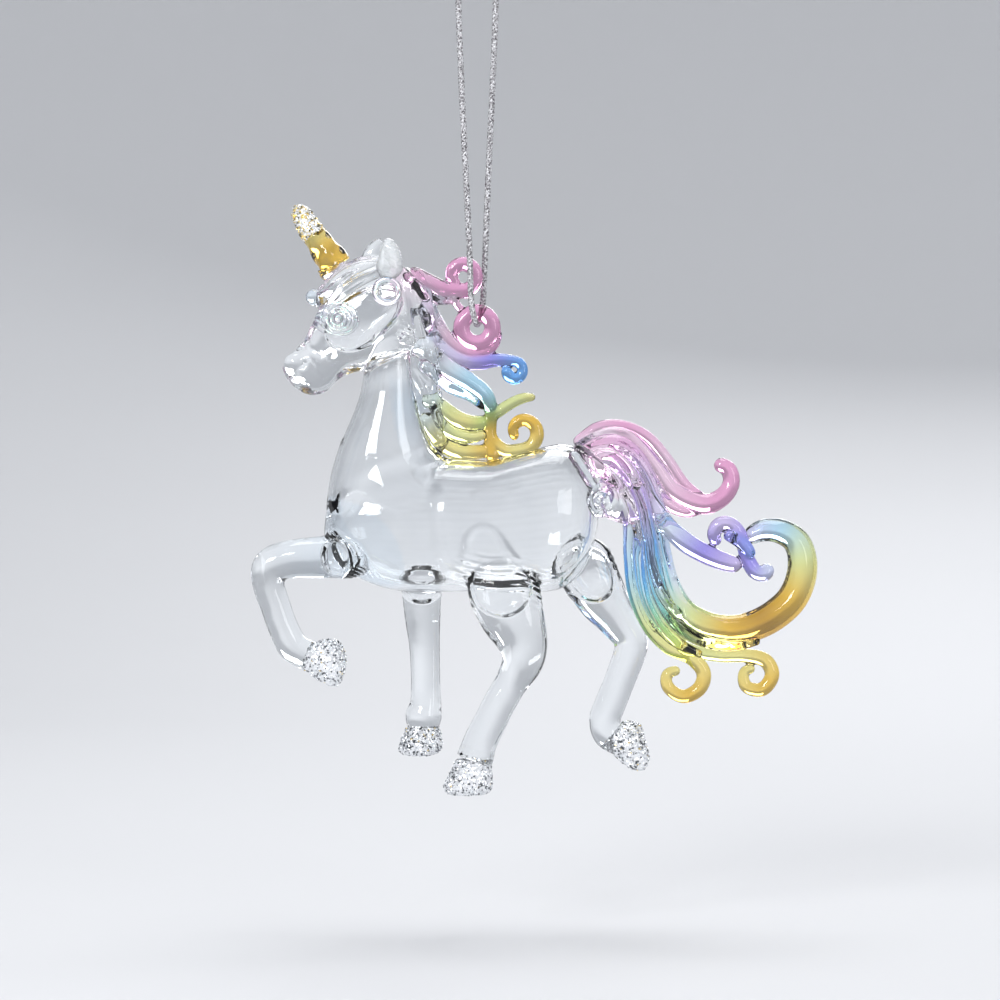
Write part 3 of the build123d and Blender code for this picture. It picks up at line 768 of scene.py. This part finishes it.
NOSTRIL = [(303, 366), (305, 364)]
MOUTH = [(285, 377), (293, 376), (301, 379), (308, 383)]
CHEEK_FOLD = [(316, 350), (324, 356), (334, 350)]
THIGH_CONTOUR = [(466, 562), (467, 540), (477, 528), (490, 528), (500, 537), (511, 556), (530, 576),
                 (552, 590)]
WAIST_FOLD = [(437, 488), (437, 515), (441, 545), (450, 570), (466, 590)]
NECK_SEAM = [(329, 503), (352, 488), (390, 476), (425, 468), (450, 463)]
# Creases that melt away: places and depth
SEAMS = [
    (NECK_SEAM, -8), (NECK_SEAM, 0), (NECK_SEAM, 8),
    ([(333, 532), (334, 556), (346, 580)], -7),
    ([(398, 588), (421, 592), (444, 590)], 6),
    ([(466, 575), (490, 588), (520, 594), (552, 588)], -8),
    ([(560, 592), (585, 590), (606, 560)], 7),
]
# Crimps of pushed-on glass: places, depth, radius, height, pitch, tilt and side
CRIMPS = [
    ([(330, 530), (338, 550), (352, 566), (368, 578)], -7, 3.2, 0.13, 1, 0.9, -1),
    ([(470, 572), (490, 570), (512, 576), (535, 586), (552, 594)], -8, 4.6, 0.13, 1.35, 0.15, -1),
    ([(407, 334), (408, 341), (409, 349)], -5.5, 2.6, 0.2, 0.9, 0.6, -1),
    ([(403, 590), (421, 592), (440, 590)], 6, 2.4, 0.1, 1.3, 0.1, 0),
    ([(575, 597), (592, 585), (612, 560)], 7, 3.2, 0.1, 1.4, 0.5, 1),
    ([(321, 284), (330, 280), (341, 276)], -1, 3.4, 0.14, 0.8, 0.5, 0),
]
for side in (-1, 1):
    press(figure, NOSTRIL, side * 3, 0.9, 0.5, side)
for side in (-1, 1):
    press(figure, MOUTH, side * 2.4, 0.8, 0.35, side)
    press(figure, CHEEK_FOLD, side * 4, 0.9, 0.25, side)
for places, depth in SEAMS:
    soften(figure, near_line(places, depth), mm(5), 36)
press(figure, THIGH_CONTOUR, -9.4, 1.5, 0.6, -1)
press(figure, WAIST_FOLD, -9.8, 1.9, 0.34, -1)
for band in CRIMPS:
    crimp(figure, *band)

# Rods that only lend the barrel and head their clear tint
PAINT_ONLY = [
    Rod([(398, 318), (372, 322), (345, 335), (318, 360)], [4.6, 5.2, 4.8, 3.2]),
    Rod([(392, 340), (388, 400), (385, 460), (420, 530), (560, 520)], [7, 7.6, 9, 10.4, 10.4]),
]
paint(figure, figure_rods + PAINT_ONLY)
HOLLOW_ROOTS = [
    Rod([(356, 556), (340, 556), (322, 557)], [3.3, 3.1, 2.6], [-FORE_DEPTH]),
    Rod([(421, 572), (421, 588), (422, 606)], [3, 2.9, 2.3], [FORE_DEPTH]),
    Rod([(488, 552), (498, 574), (506, 598), (512, 616)], [4, 5.4, 5.4, 4], [0.4 - HIND_DEPTH],
        [0.5, 0.45, 0.55]),
    Rod([(578, 552), (592, 578), (606, 602)], [4.6, 4.3, 3.2], [HIND_DEPTH - 0.3], [0.6, 0.7, 0.75]),
]
NECK_HOLLOW = NECK_STATIONS[1:-1] + [(372, 360, 410, 343)]
NECK_HOLLOW_THICK = NECK_THICK[1:-1] + [0.34]
add_inner(figure, "hollow", [
    slab_rings(drawn_in(BODY_STATIONS, BODY_WALL), BODY_THICK, BODY_THICKNESS, inset=BODY_WALL),
    slab_rings(NECK_HOLLOW, NECK_HOLLOW_THICK, NECK_THICKNESS, inset=NECK_WALL),
    slab_rings(SHOULDER_STATIONS, SHOULDER_THICK, BODY_THICKNESS, inset=BODY_WALL),
    blob_rings(at((352, 505)), (3.4, 6.5, 7)),
] + [rod.rings() for rod in HOLLOW_ROOTS], fuse_size * 1.2)
add_inner(figure, "head_bubble", [blob_rings(at((364, 319)), (8.4, 2.9, 4.9), -0.62, 40)], fuse_size)
dress(figure, tinted_glass, (
    "body_shell neck_shell head ear_far horn_collar forelock jaw_bead mane_crest "
    "foreleg_raised foreleg_standing hind_leg_near hind_leg_far"))

# Eyes, near ear and the ring at its foot, each a drop or rod of glass on the head

surface = BVHTree.FromObject(figure, bpy.context.evaluated_depsgraph_get())


def skin_at(place, side):
    """The point of the figure's near or far skin at a place of the picture, and its normal."""
    start = at(place, side * mm(40))
    hit, normal, _, _ = surface.ray_cast(start, Vector((0, -side, 0)))
    return hit, normal


EYE_PIXEL = (340, 320)
# The moulding round an eye: half width and half height in pixels, rod radius in millimetres
EYE_RINGS = ((7.5, 7, 0.24), (12, 11, 0.27), (18, 16, 0.22))


def make_eye(name, side):
    """A moulded eye: a drop inside thin rings."""
    centre, _ = skin_at(EYE_PIXEL, side)
    skins = [loft(blob_rings(centre, (0.95, 0.6, 0.95)))]
    for wide, high, rod in EYE_RINGS:
        line = []
        for turn in np.linspace(0, 2 * math.pi, 49):
            place = (EYE_PIXEL[0] + wide * math.cos(turn), EYE_PIXEL[1] + high * math.sin(turn))
            line.append(tuple(skin_at(place, side)[0]))
        skins.append(strand_skin(np.array(line), mm(rod), 10))
    return join_skins(name, skins)


dress(make_eye("eye_near_glass", -1), clear_glass, "eye_near")
dress(make_eye("eye_far_glass", 1), clear_glass, "eye_far")

ear_rod = Rod([(390, 282), (390, 272), (391, 260), (390, 249), (387, 239)],
              [2.2, 2.7, 2.4, 1.7, 0.6], [-4.2, -4, -3.7, -3.4], [0.5])
ear = fuse("frosted_near_ear", rod_skins([ear_rod]), fuse_size * 0.7)
relax(ear, RELAX_ROUNDS)
press(ear, [(390, 274), (391, 262), (389, 250)], -5, 1.5, 0.6, -1)
crimp(ear, [(390, 280), (390, 262), (388, 244)], -4.2, 3.4, 0.12, 0.7, 0.7)
dress(ear, frosted, "ear_near")

ring_foot, ring_way = skin_at((388, 293), -1)
ear_ring = join_skins("ear_ring_glass", [tube_ring(ring_foot, mm(2.3), mm(0.72), ring_way)])
dress(ear_ring, clear_glass, "ear_ring")

# Horn: a twisted amber rod

horn_rod = Rod([(337, 267), (329, 256), (321, 245), (314, 235)], [3.3, 3.1, 2.7, 2.4],
               tints="amber amber yellow", ridges=3, ridge=0.05, twist=1.5, blunt=(True, True))
horn = join_skins("amber_horn", [loft(horn_rod.rings(48))])
paint(horn, [horn_rod])
dress(horn, tinted_glass, "horn")

# Mane: locks fused side by side, each with its own tint


def curl(centre, radius, start, turn, steps, shrink):
    """Places round a curl, the angle clockwise from the right as the picture shows it."""
    places = []
    for step in range(steps + 1):
        angle = math.radians(start + turn * step / steps)
        reach = radius * (1 - shrink * step / steps)
        places.append((centre[0] + reach * math.cos(angle), centre[1] + reach * math.sin(angle)))
    return places


MANE = [
    Rod([(406, 272), (424, 282), (441, 290), (452, 291)] + curl((462, 276), 15, 70, -330, 9, 0.42),
        [1.9, 2.1, 2, 1.7, 1.55, 1.5, 1.5, 1.5, 1.5, 1.45, 1.4, 1.3, 1.2, 1.1],
        flats=[1, 0.8, 0.78, 0.78, 0.78], tints="rose pink pink pink"),
    Rod([(412, 284), (428, 294), (444, 299), (455, 297), (463, 293)], [1.2, 1.5, 1.3, 1, 0.6],
        [-1.2, -0.6, 0], tints="ice rose"),
    Rod([(424, 300), (434, 322), (447, 341), (463, 352), (481, 353), (494, 344), (499, 330)],
        [1.9, 1.9, 1.75, 1.5, 1.25, 1.1, 0.8], tints="ice rose pink pink"),
    Rod([(418, 306), (428, 328), (441, 347), (456, 358), (470, 362)], [1.2, 1.3, 1.3, 1.1, 0.7], [-1.3],
        tints="ice lilac"),
    Rod([(452, 296), (458, 306), (466, 314)], [0.9, 0.8, 0.9], tints="rose pink"),
    Rod([(424, 336), (440, 350), (458, 360), (480, 362), (499, 360)]
        + curl((514, 371), 9.5, -75, 300, 6, 0.35),
        [1.7, 1.75, 1.75, 1.6, 1.35, 1.15, 1.1, 1.15, 1.2, 1.25, 1.3, 1.3],
        tints="ice lilac violet blue blue"),
    Rod([(414, 342), (430, 354), (450, 372), (470, 384), (485, 396), (492, 414)],
        [1.9, 2.2, 2.25, 2.05, 1.8, 1.4], [-1.05, -1.7, -1.7, -1.05, 0],
        tints="clear clear ice sky sky moss"),
    Rod([(420, 362), (436, 376), (452, 388), (470, 396), (486, 408)], [1.1, 1.4, 1.4, 1.2, 0.9],
        [-2.6, -2.8, -2.2, -1.2], tints="clear ice sky green"),
    Rod([(424, 396), (440, 407), (457, 420), (475, 424), (489, 420)], [1.5, 1.8, 1.95, 1.7, 1.3],
        tints="ice lime yellow green"),
    Rod([(424, 412), (430, 428), (444, 444), (460, 452), (478, 452), (490, 450)],
        [1.3, 1.6, 1.75, 1.75, 1.5, 1.3], tints="ice yellow yellow amber"),
    Rod([(430, 404), (440, 422), (454, 434), (472, 438), (486, 434)], [0.9, 1.2, 1.2, 1.1, 0.8], [-1.4],
        tints="clear lime yellow"),
    Rod([(492, 408), (490, 428), (491, 446), (494, 462)], [1.4, 1.35, 1.4, 1.6], tints="moss amber amber"),
    Rod([(486, 421), (498, 412), (512, 403), (524, 398), (536, 397)], [1.1, 1.2, 1.15, 1.05, 0.7],
        tints="moss lime lime yellow"),
    Rod([(489, 432), (495, 443), (506, 451)] + curl((522, 432), 18, 90, -330, 9, 0.62),
        [1.2, 1.3, 1.45, 1.45, 1.45, 1.45, 1.4, 1.35, 1.3, 1.2, 1.1, 1.05, 1.1],
        tints="amber yellow amber amber"),
]


HOLE = at(RING_PIXEL)
RING_RADIUS = mm(3.1)
RING_ROD = 1.7


def ring_rod(tint):
    """The hanging ring as a rod, for its tint."""
    rod = Rod([RING_PIXEL, (RING_PIXEL[0] + 1, RING_PIXEL[1])], [RING_ROD], tints=tint)
    rod.line = np.array([tuple(HOLE + Vector((RING_RADIUS * math.cos(a), 0, RING_RADIUS * math.sin(a))))
                         for a in np.linspace(0, 2 * math.pi, 60)])
    rod.radii = np.full(60, mm(RING_ROD))
    rod.far = np.linspace(0, 1, 60)
    return rod


mane_skins = rod_skins(MANE) + [tube_ring(HOLE, RING_RADIUS, mm(RING_ROD), sides=22)]
mane = fuse("mane_locks", mane_skins, fuse_size * 0.85)
relax(mane, RELAX_ROUNDS)
paint(mane, MANE + [ring_rod("pink")])
dress(mane, tinted_glass, (
    "mane_upper_curl hanging_ring mane_ring_lock mane_blue_lock mane_arch_lock mane_green_lock "
    "mane_yellow_lock mane_stem mane_leaf mane_amber_curl"))

# Tail: locks that fan from the rump and end in curls

TAIL = [
    Rod([(574, 445), (597, 428), (622, 426), (647, 437), (666, 458), (684, 484), (704, 498)],
        [1.1, 1.2, 1.2, 1.2, 1.2, 1.2, 0.8], tints="rose pink rose pink"),
    Rod([(575, 449), (599, 436), (621, 434), (640, 446), (657, 468), (675, 492), (702, 504), (721, 498),
         (731, 484), (728, 469), (714, 463)],
        [1.1, 1.2, 1.2, 1.2, 1.35, 1.75, 2.1, 1.9, 1.75, 1.65, 1.45], [-0.9, -1.3, -0.7, 0, 0],
        tints="clear rose rose pink pink"),
    Rod([(577, 454), (602, 443), (621, 443), (637, 456), (651, 480), (664, 501), (684, 512), (705, 510)],
        [1.1, 1.2, 1.2, 1.2, 1.2, 1.25, 1.1, 0.7], [-2.1, -2.4, -2.1, -1.4, -0.6],
        tints="rose pink rose pink"),
    Rod([(578, 459), (603, 450), (624, 454), (640, 474), (652, 500), (666, 524), (682, 540), (701, 552),
         (722, 561), (741, 566)],
        [1.1, 1.2, 1.2, 1.2, 1.3, 1.7, 2.05, 2, 1.9, 1.5], [-2.6, -3, -2.8, -2.6, -2.5],
        tints="rose rose lilac ice violet lilac"),
    Rod([(580, 460), (602, 446), (625, 452), (644, 477), (654, 510), (661, 545), (668, 580), (681, 608),
         (700, 623), (722, 629), (746, 628), (770, 618), (791, 600), (801, 578), (802, 557), (795, 540),
         (779, 531), (761, 531), (745, 540)],
        [1.3, 1.4, 1.4, 1.4, 1.5, 1.7, 2, 2.4, 2.8, 2.8, 2.9, 3, 3, 2.95, 2.8, 2.6, 2.4, 2.1, 1.5],
        tints="rose lilac ice ice sky ice lime amber brown amber lime sky lilac",
        ridges=4, ridge=0.045),
    Rod([(582, 466), (603, 459), (621, 468), (634, 494), (642, 525), (648, 558), (656, 592), (670, 617),
         (690, 634), (712, 643), (736, 645), (760, 640)],
        [1.1, 1.2, 1.2, 1.15, 1.15, 1.2, 1.3, 1.4, 1.4, 1.3, 1.1, 0.8], [-1.9, -2, -2, -1.9, -1.6, -1.2],
        tints="clear lilac lilac blue sky moss lime amber"),
    Rod([(600, 478), (617, 494), (627, 522), (628, 556), (633, 594), (647, 626), (667, 647), (690, 657),
         (703, 672), (699, 688), (683, 696), (668, 687), (667, 674), (680, 669)],
        [1, 1.1, 1.05, 1, 1.1, 1.15, 1.3, 1.5, 1.5, 1.5, 1.4, 1.3, 1.15, 1], [-1.26],
        tints="clear ice sky lime yellow amber yellow"),
    Rod([(606, 472), (624, 494), (634, 528), (636, 566), (644, 602), (664, 632), (690, 650), (720, 656),
         (746, 656), (766, 661), (773, 676), (763, 690), (747, 687), (745, 673), (756, 668)],
        [1, 1.05, 1, 1, 1.1, 1.2, 1.3, 1.35, 1.45, 1.5, 1.5, 1.45, 1.3, 1.1, 0.9], [2.1],
        tints="clear lilac blue teal lime yellow amber yellow"),
    Rod([(588, 468), (608, 474), (624, 494), (636, 528), (639, 562), (646, 598), (662, 627), (682, 645),
         (702, 654)],
        [1, 1.1, 1.1, 1, 1, 1.1, 1.1, 1, 0.7], [-3.3, -3.6, -3.4, -2.8, -2.2],
        tints="clear rose ice sky lime yellow"),
    Rod([(592, 456), (612, 456), (630, 474), (643, 504), (650, 538), (655, 570), (664, 596), (680, 616)],
        [1, 1.1, 1.1, 1.05, 1.05, 1.1, 1, 0.7], [-3.9, -4.4, -4.2, -3.6, -2.8],
        tints="rose rose lilac blue sky green"),
    Rod([(590, 452), (612, 444), (634, 458), (650, 486), (660, 518), (666, 550), (672, 582)],
        [1.2, 1.3, 1.3, 1.2, 1.1, 1.1, 0.7], [1.8, 2.4, 2.4, 1.8], tints="pink lilac lilac ice"),
    Rod([(588, 458), (608, 456), (626, 470), (640, 500), (648, 534), (652, 568), (660, 600), (676, 622)],
        [1.2, 1.3, 1.3, 1.2, 1.1, 1.1, 1, 0.7], [3.6, 4, 4, 3.4, 2.6], tints="rose lilac sky teal"),
    Rod([(640, 486), (650, 528), (656, 564), (668, 600), (688, 624)], [1.1, 1.5, 1.7, 1.7, 1.2],
        [-1.6, -2, -2, -1.4], tints="lilac sky teal lime"),
    Rod([(718, 545), (713, 535), (718, 525), (729, 524), (738, 533), (743, 547), (747, 560), (754, 571),
         (764, 573), (767, 563)],
        [1.1, 1.4, 1.55, 1.5, 1.45, 1.45, 1.5, 1.6, 1.6, 1.4], [-2.5],
        tints="violet lilac violet violet ice"),
    Rod([(722, 534), (733, 538), (744, 546), (752, 557)], [1, 1.3, 1.3, 0.9], [-3.6, -4],
        tints="violet blue"),
    Rod([(600, 500), (616, 505), (634, 520)], [3.3, 3.2, 2.1], [-2.6], [0.7], tints="clear clear rose"),
    Rod([(570, 452), (578, 466), (588, 482), (596, 492)], [1.1, 1.2, 1.2, 1], [-4.8, -5.6, -5.8, -5.4]),
    Rod([(574, 446), (588, 458), (602, 472), (616, 490)], [1.1, 1.2, 1.2, 0.9], [-3.4, -4.4, -4.8, -4.2],
        tints="clear rose"),
    Rod([(578, 462), (592, 458), (606, 461), (619, 472), (630, 490)], [4.2, 4.2, 3.8, 2.8, 1.4],
        flats=[0.62], tints="rose rose lilac"),
]
# The moulded face of the coil: rings standing proud of its disc
COIL_FACE = (600, 500)
tail_skins = rod_skins(TAIL) + [loft(blob_rings(at((749, 643)), (1, 1, 1)))]
tail_skins.append(tube_ring(at(COIL_FACE, mm(-5)), mm(2.7), mm(0.85)))
tail_skins.append(tube_ring(at(COIL_FACE, mm(-4.9)), mm(1), mm(0.6)))
tail = fuse("tail_locks", tail_skins, fuse_size * 0.85)
relax(tail, RELAX_ROUNDS)
paint(tail, TAIL)
dress(tail, tinted_glass, (
    "tail_root tail_large_strand tail_large_curl tail_pink_lock tail_purple_lock tail_left_strand "
    "tail_left_curl tail_right_strand tail_right_curl tail_twin_curl tail_coil tail_bead"))

# Glitter: rough coated feet and horn tip, set all over with flakes

randomness = random.Random(7)
HOOF_GRAINS = 1500
TIP_GRAINS = 760
GRAIN_SIZES = (0.16, 0.34)
COAT_LUMPS = mm(0.1)
GRAIN_FACES = [(0, 2, 4), (2, 1, 4), (1, 3, 4), (3, 0, 4), (2, 0, 5), (1, 2, 5), (3, 1, 5), (0, 3, 5)]


def add_grains(obj, count):
    """Flakes standing in a coated surface, each a lopsided eight-sided crystal with its own shade."""
    mesh = obj.data
    mesh.calc_loop_triangles()
    triangles = [tuple(triangle.vertices) for triangle in mesh.loop_triangles]
    areas = [triangle.area for triangle in mesh.loop_triangles]
    places = [vertex.co.copy() for vertex in mesh.vertices]
    points = [tuple(place) for place in places]
    faces = [tuple(polygon.vertices) for polygon in mesh.polygons]
    shades = [0.6] * len(points)
    for triangle in randomness.choices(triangles, areas, k=count):
        a, b, c = (places[index] for index in triangle)
        u, v = sorted((randomness.random(), randomness.random()))
        middle = a * u + b * (v - u) + c * (1 - v)
        size = mm(randomness.uniform(*GRAIN_SIZES))
        angle = randomness.uniform(0, 6.28)
        turn = Matrix.Rotation(angle, 3, Vector([randomness.uniform(-1, 1) for _ in "xyz"]))
        start = len(points)
        shade = randomness.random()
        for corner in ((1, 0, 0), (-1, 0, 0), (0, 1, 0), (0, -1, 0), (0, 0, 0.8), (0, 0, -0.8)):
            stretch = randomness.uniform(0.75, 1.25)
            points.append(tuple(middle + turn @ Vector(corner) * size * stretch))
            shades.append(shade)
        faces += [tuple(index + start for index in face) for face in GRAIN_FACES]
    coated = bpy.data.meshes.new(mesh.name)
    coated.from_pydata(points, [], faces)
    coated.update()
    layer = coated.attributes.new("grain", "FLOAT", "POINT")
    layer.data.foreach_set("value", shades)
    obj.data = coated


def roughen(obj):
    """Lumps the skin a little, the same way each run."""
    mesh = obj.data
    normals = normals_of(mesh)
    lumps = np.array([randomness.uniform(-1, 1) for _ in range(len(mesh.vertices))])
    set_places(mesh, places_of(mesh) + normals * (lumps * COAT_LUMPS)[:, None])


HOOVES = [
    ("raised_hoof_glitter", "hoof_raised", -FORE_DEPTH, 8.4, [0.75, 0.92, 1.0, 0.95, 0.72, 0.36], [
        (312, 644, 304, 666), (321, 640, 311, 672), (332, 638, 323, 679), (341, 641, 333, 684),
        (346, 651, 340, 683), (347, 661, 345, 673)]),
    ("standing_hoof_glitter", "hoof_standing", FORE_DEPTH, 8.6, [0.75, 0.88, 0.96, 0.94, 0.78, 0.4], [
        (406, 729, 438, 728), (403, 737, 440, 736), (399, 746, 441, 744), (398, 752, 441, 750),
        (403, 756, 436, 755), (411, 757, 428, 757)]),
    ("near_hind_hoof_glitter", "hoof_hind_near", -HIND_DEPTH, 7.9, [0.8, 0.9, 1.0, 1.0, 0.84, 0.44], [
        (457, 757, 490, 757), (453, 766, 491, 765), (448, 776, 492, 775), (444, 784, 492, 783),
        (448, 790, 489, 789), (457, 791, 481, 791)]),
    ("far_hind_hoof_glitter", "hoof_hind_far", HIND_DEPTH, 8.0, [0.76, 0.92, 1.0, 0.92, 0.7, 0.36], [
        (623, 725, 607, 745), (634, 724, 611, 752), (642, 728, 619, 761), (646, 741, 629, 769),
        (650, 756, 638, 773), (649, 766, 645, 772)]),
]
for name, node, depth, thickness, shares, stations in HOOVES:
    hoof = fuse(name, [loft(slab_rings(stations, shares, mm(thickness), mm(depth)))], mm(0.42))
    relax(hoof, 2)
    roughen(hoof)
    add_grains(hoof, HOOF_GRAINS)
    dress(hoof, silver_glitter, node)

tip_rod = Rod([(314, 236), (308, 226), (301, 214), (297, 205)], [2.45, 2.2, 1.9, 1.5], blunt=(True, False))
tip = fuse("horn_tip_glitter", rod_skins([tip_rod]), mm(0.4))
roughen(tip)
add_grains(tip, TIP_GRAINS)
dress(tip, gold_glitter, "horn_tip")

# Floor, backdrop and lights

FLOOR_HEIGHT = mm(-200)
FLOOR_REACH = 0.6
BEND_RADIUS = 0.7
WALL_HEIGHT = 1.2
CARD_CORNERS = [(0, -0.11, -0.3), (0, 0.11, -0.3), (0, 0.11, 0.3), (0, -0.11, 0.3)]
LIGHT_AIM = (0, 0, -0.11)


def backdrop():
    """A pale floor that sweeps up into a round wall."""
    profile = [(FLOOR_REACH / 2, 0), (FLOOR_REACH, 0)]
    for step in range(1, 13):
        turn = math.pi / 2 * step / 12
        profile.append((FLOOR_REACH + BEND_RADIUS * math.sin(turn), BEND_RADIUS * (1 - math.cos(turn))))
    profile.append((FLOOR_REACH + BEND_RADIUS, WALL_HEIGHT))
    sides = 96
    points = []
    for reach, height in profile:
        for turn in turns(sides):
            points.append((reach * math.cos(turn), reach * math.sin(turn), FLOOR_HEIGHT + height))
    middle = len(points)
    points.append((0, 0, FLOOR_HEIGHT))
    faces = [(middle, side, (side + 1) % sides) for side in range(sides)]
    faces += [quad(row, side, sides)[::-1] for row in range(len(profile) - 1) for side in range(sides)]
    return make_object("backdrop", points, faces)


floor = backdrop()
paper, _, _ = node_material(
    "pale_paper", {"Base Color": (0.66, 0.665, 0.68, 1), "Roughness": 0.9, "Specular IOR Level": 0.1})
floor.data.materials.append(paper)

dark_paper, _, _ = node_material("dark_card", {"Base Color": (0.13, 0.13, 0.15, 1), "Roughness": 1.0})
for number, side in enumerate((-1, 1)):
    card = make_object(f"dark_card_{number}", CARD_CORNERS, [(0, 1, 2, 3)])
    card.location = (side * 0.42, 0.12, -0.1)
    card.rotation_euler = (0, 0, math.radians(-12 * side))
    card.data.materials.append(dark_paper)
    card.visible_camera = False
    card.visible_diffuse = False
    card.visible_shadow = False


def softbox(name, place, size, power):
    """A soft rectangular lamp aimed at the ornament."""
    lamp = bpy.data.lights.new(name, "AREA")
    lamp.shape = "RECTANGLE"
    lamp.size, lamp.size_y = size
    lamp.energy = power
    obj = bpy.data.objects.new(name, lamp)
    bpy.context.scene.collection.objects.link(obj)
    obj.location = place
    obj.rotation_euler = (Vector(LIGHT_AIM) - Vector(place)).to_track_quat("-Z", "Y").to_euler()
    obj.visible_camera = False


softbox("key_softbox", (-0.42, -0.75, 0.28), (0.34, 0.22), 4.2)
softbox("fill_softbox", (0.62, -0.7, 0.1), (0.3, 0.45), 1.6)
softbox("top_softbox", (0.05, 0.1, 0.62), (0.5, 0.5), 3.2)
softbox("back_softbox", (0.25, 0.85, 0.3), (0.5, 0.3), 2.6)

world = bpy.data.worlds.new("soft_sky")
bpy.context.scene.world = world
world.use_nodes = True
set_inputs(world.node_tree.nodes["Background"], {"Color": (0.92, 0.95, 1.0, 1), "Strength": 0.62})
bpy.context.scene.view_settings.view_transform = "Standard"
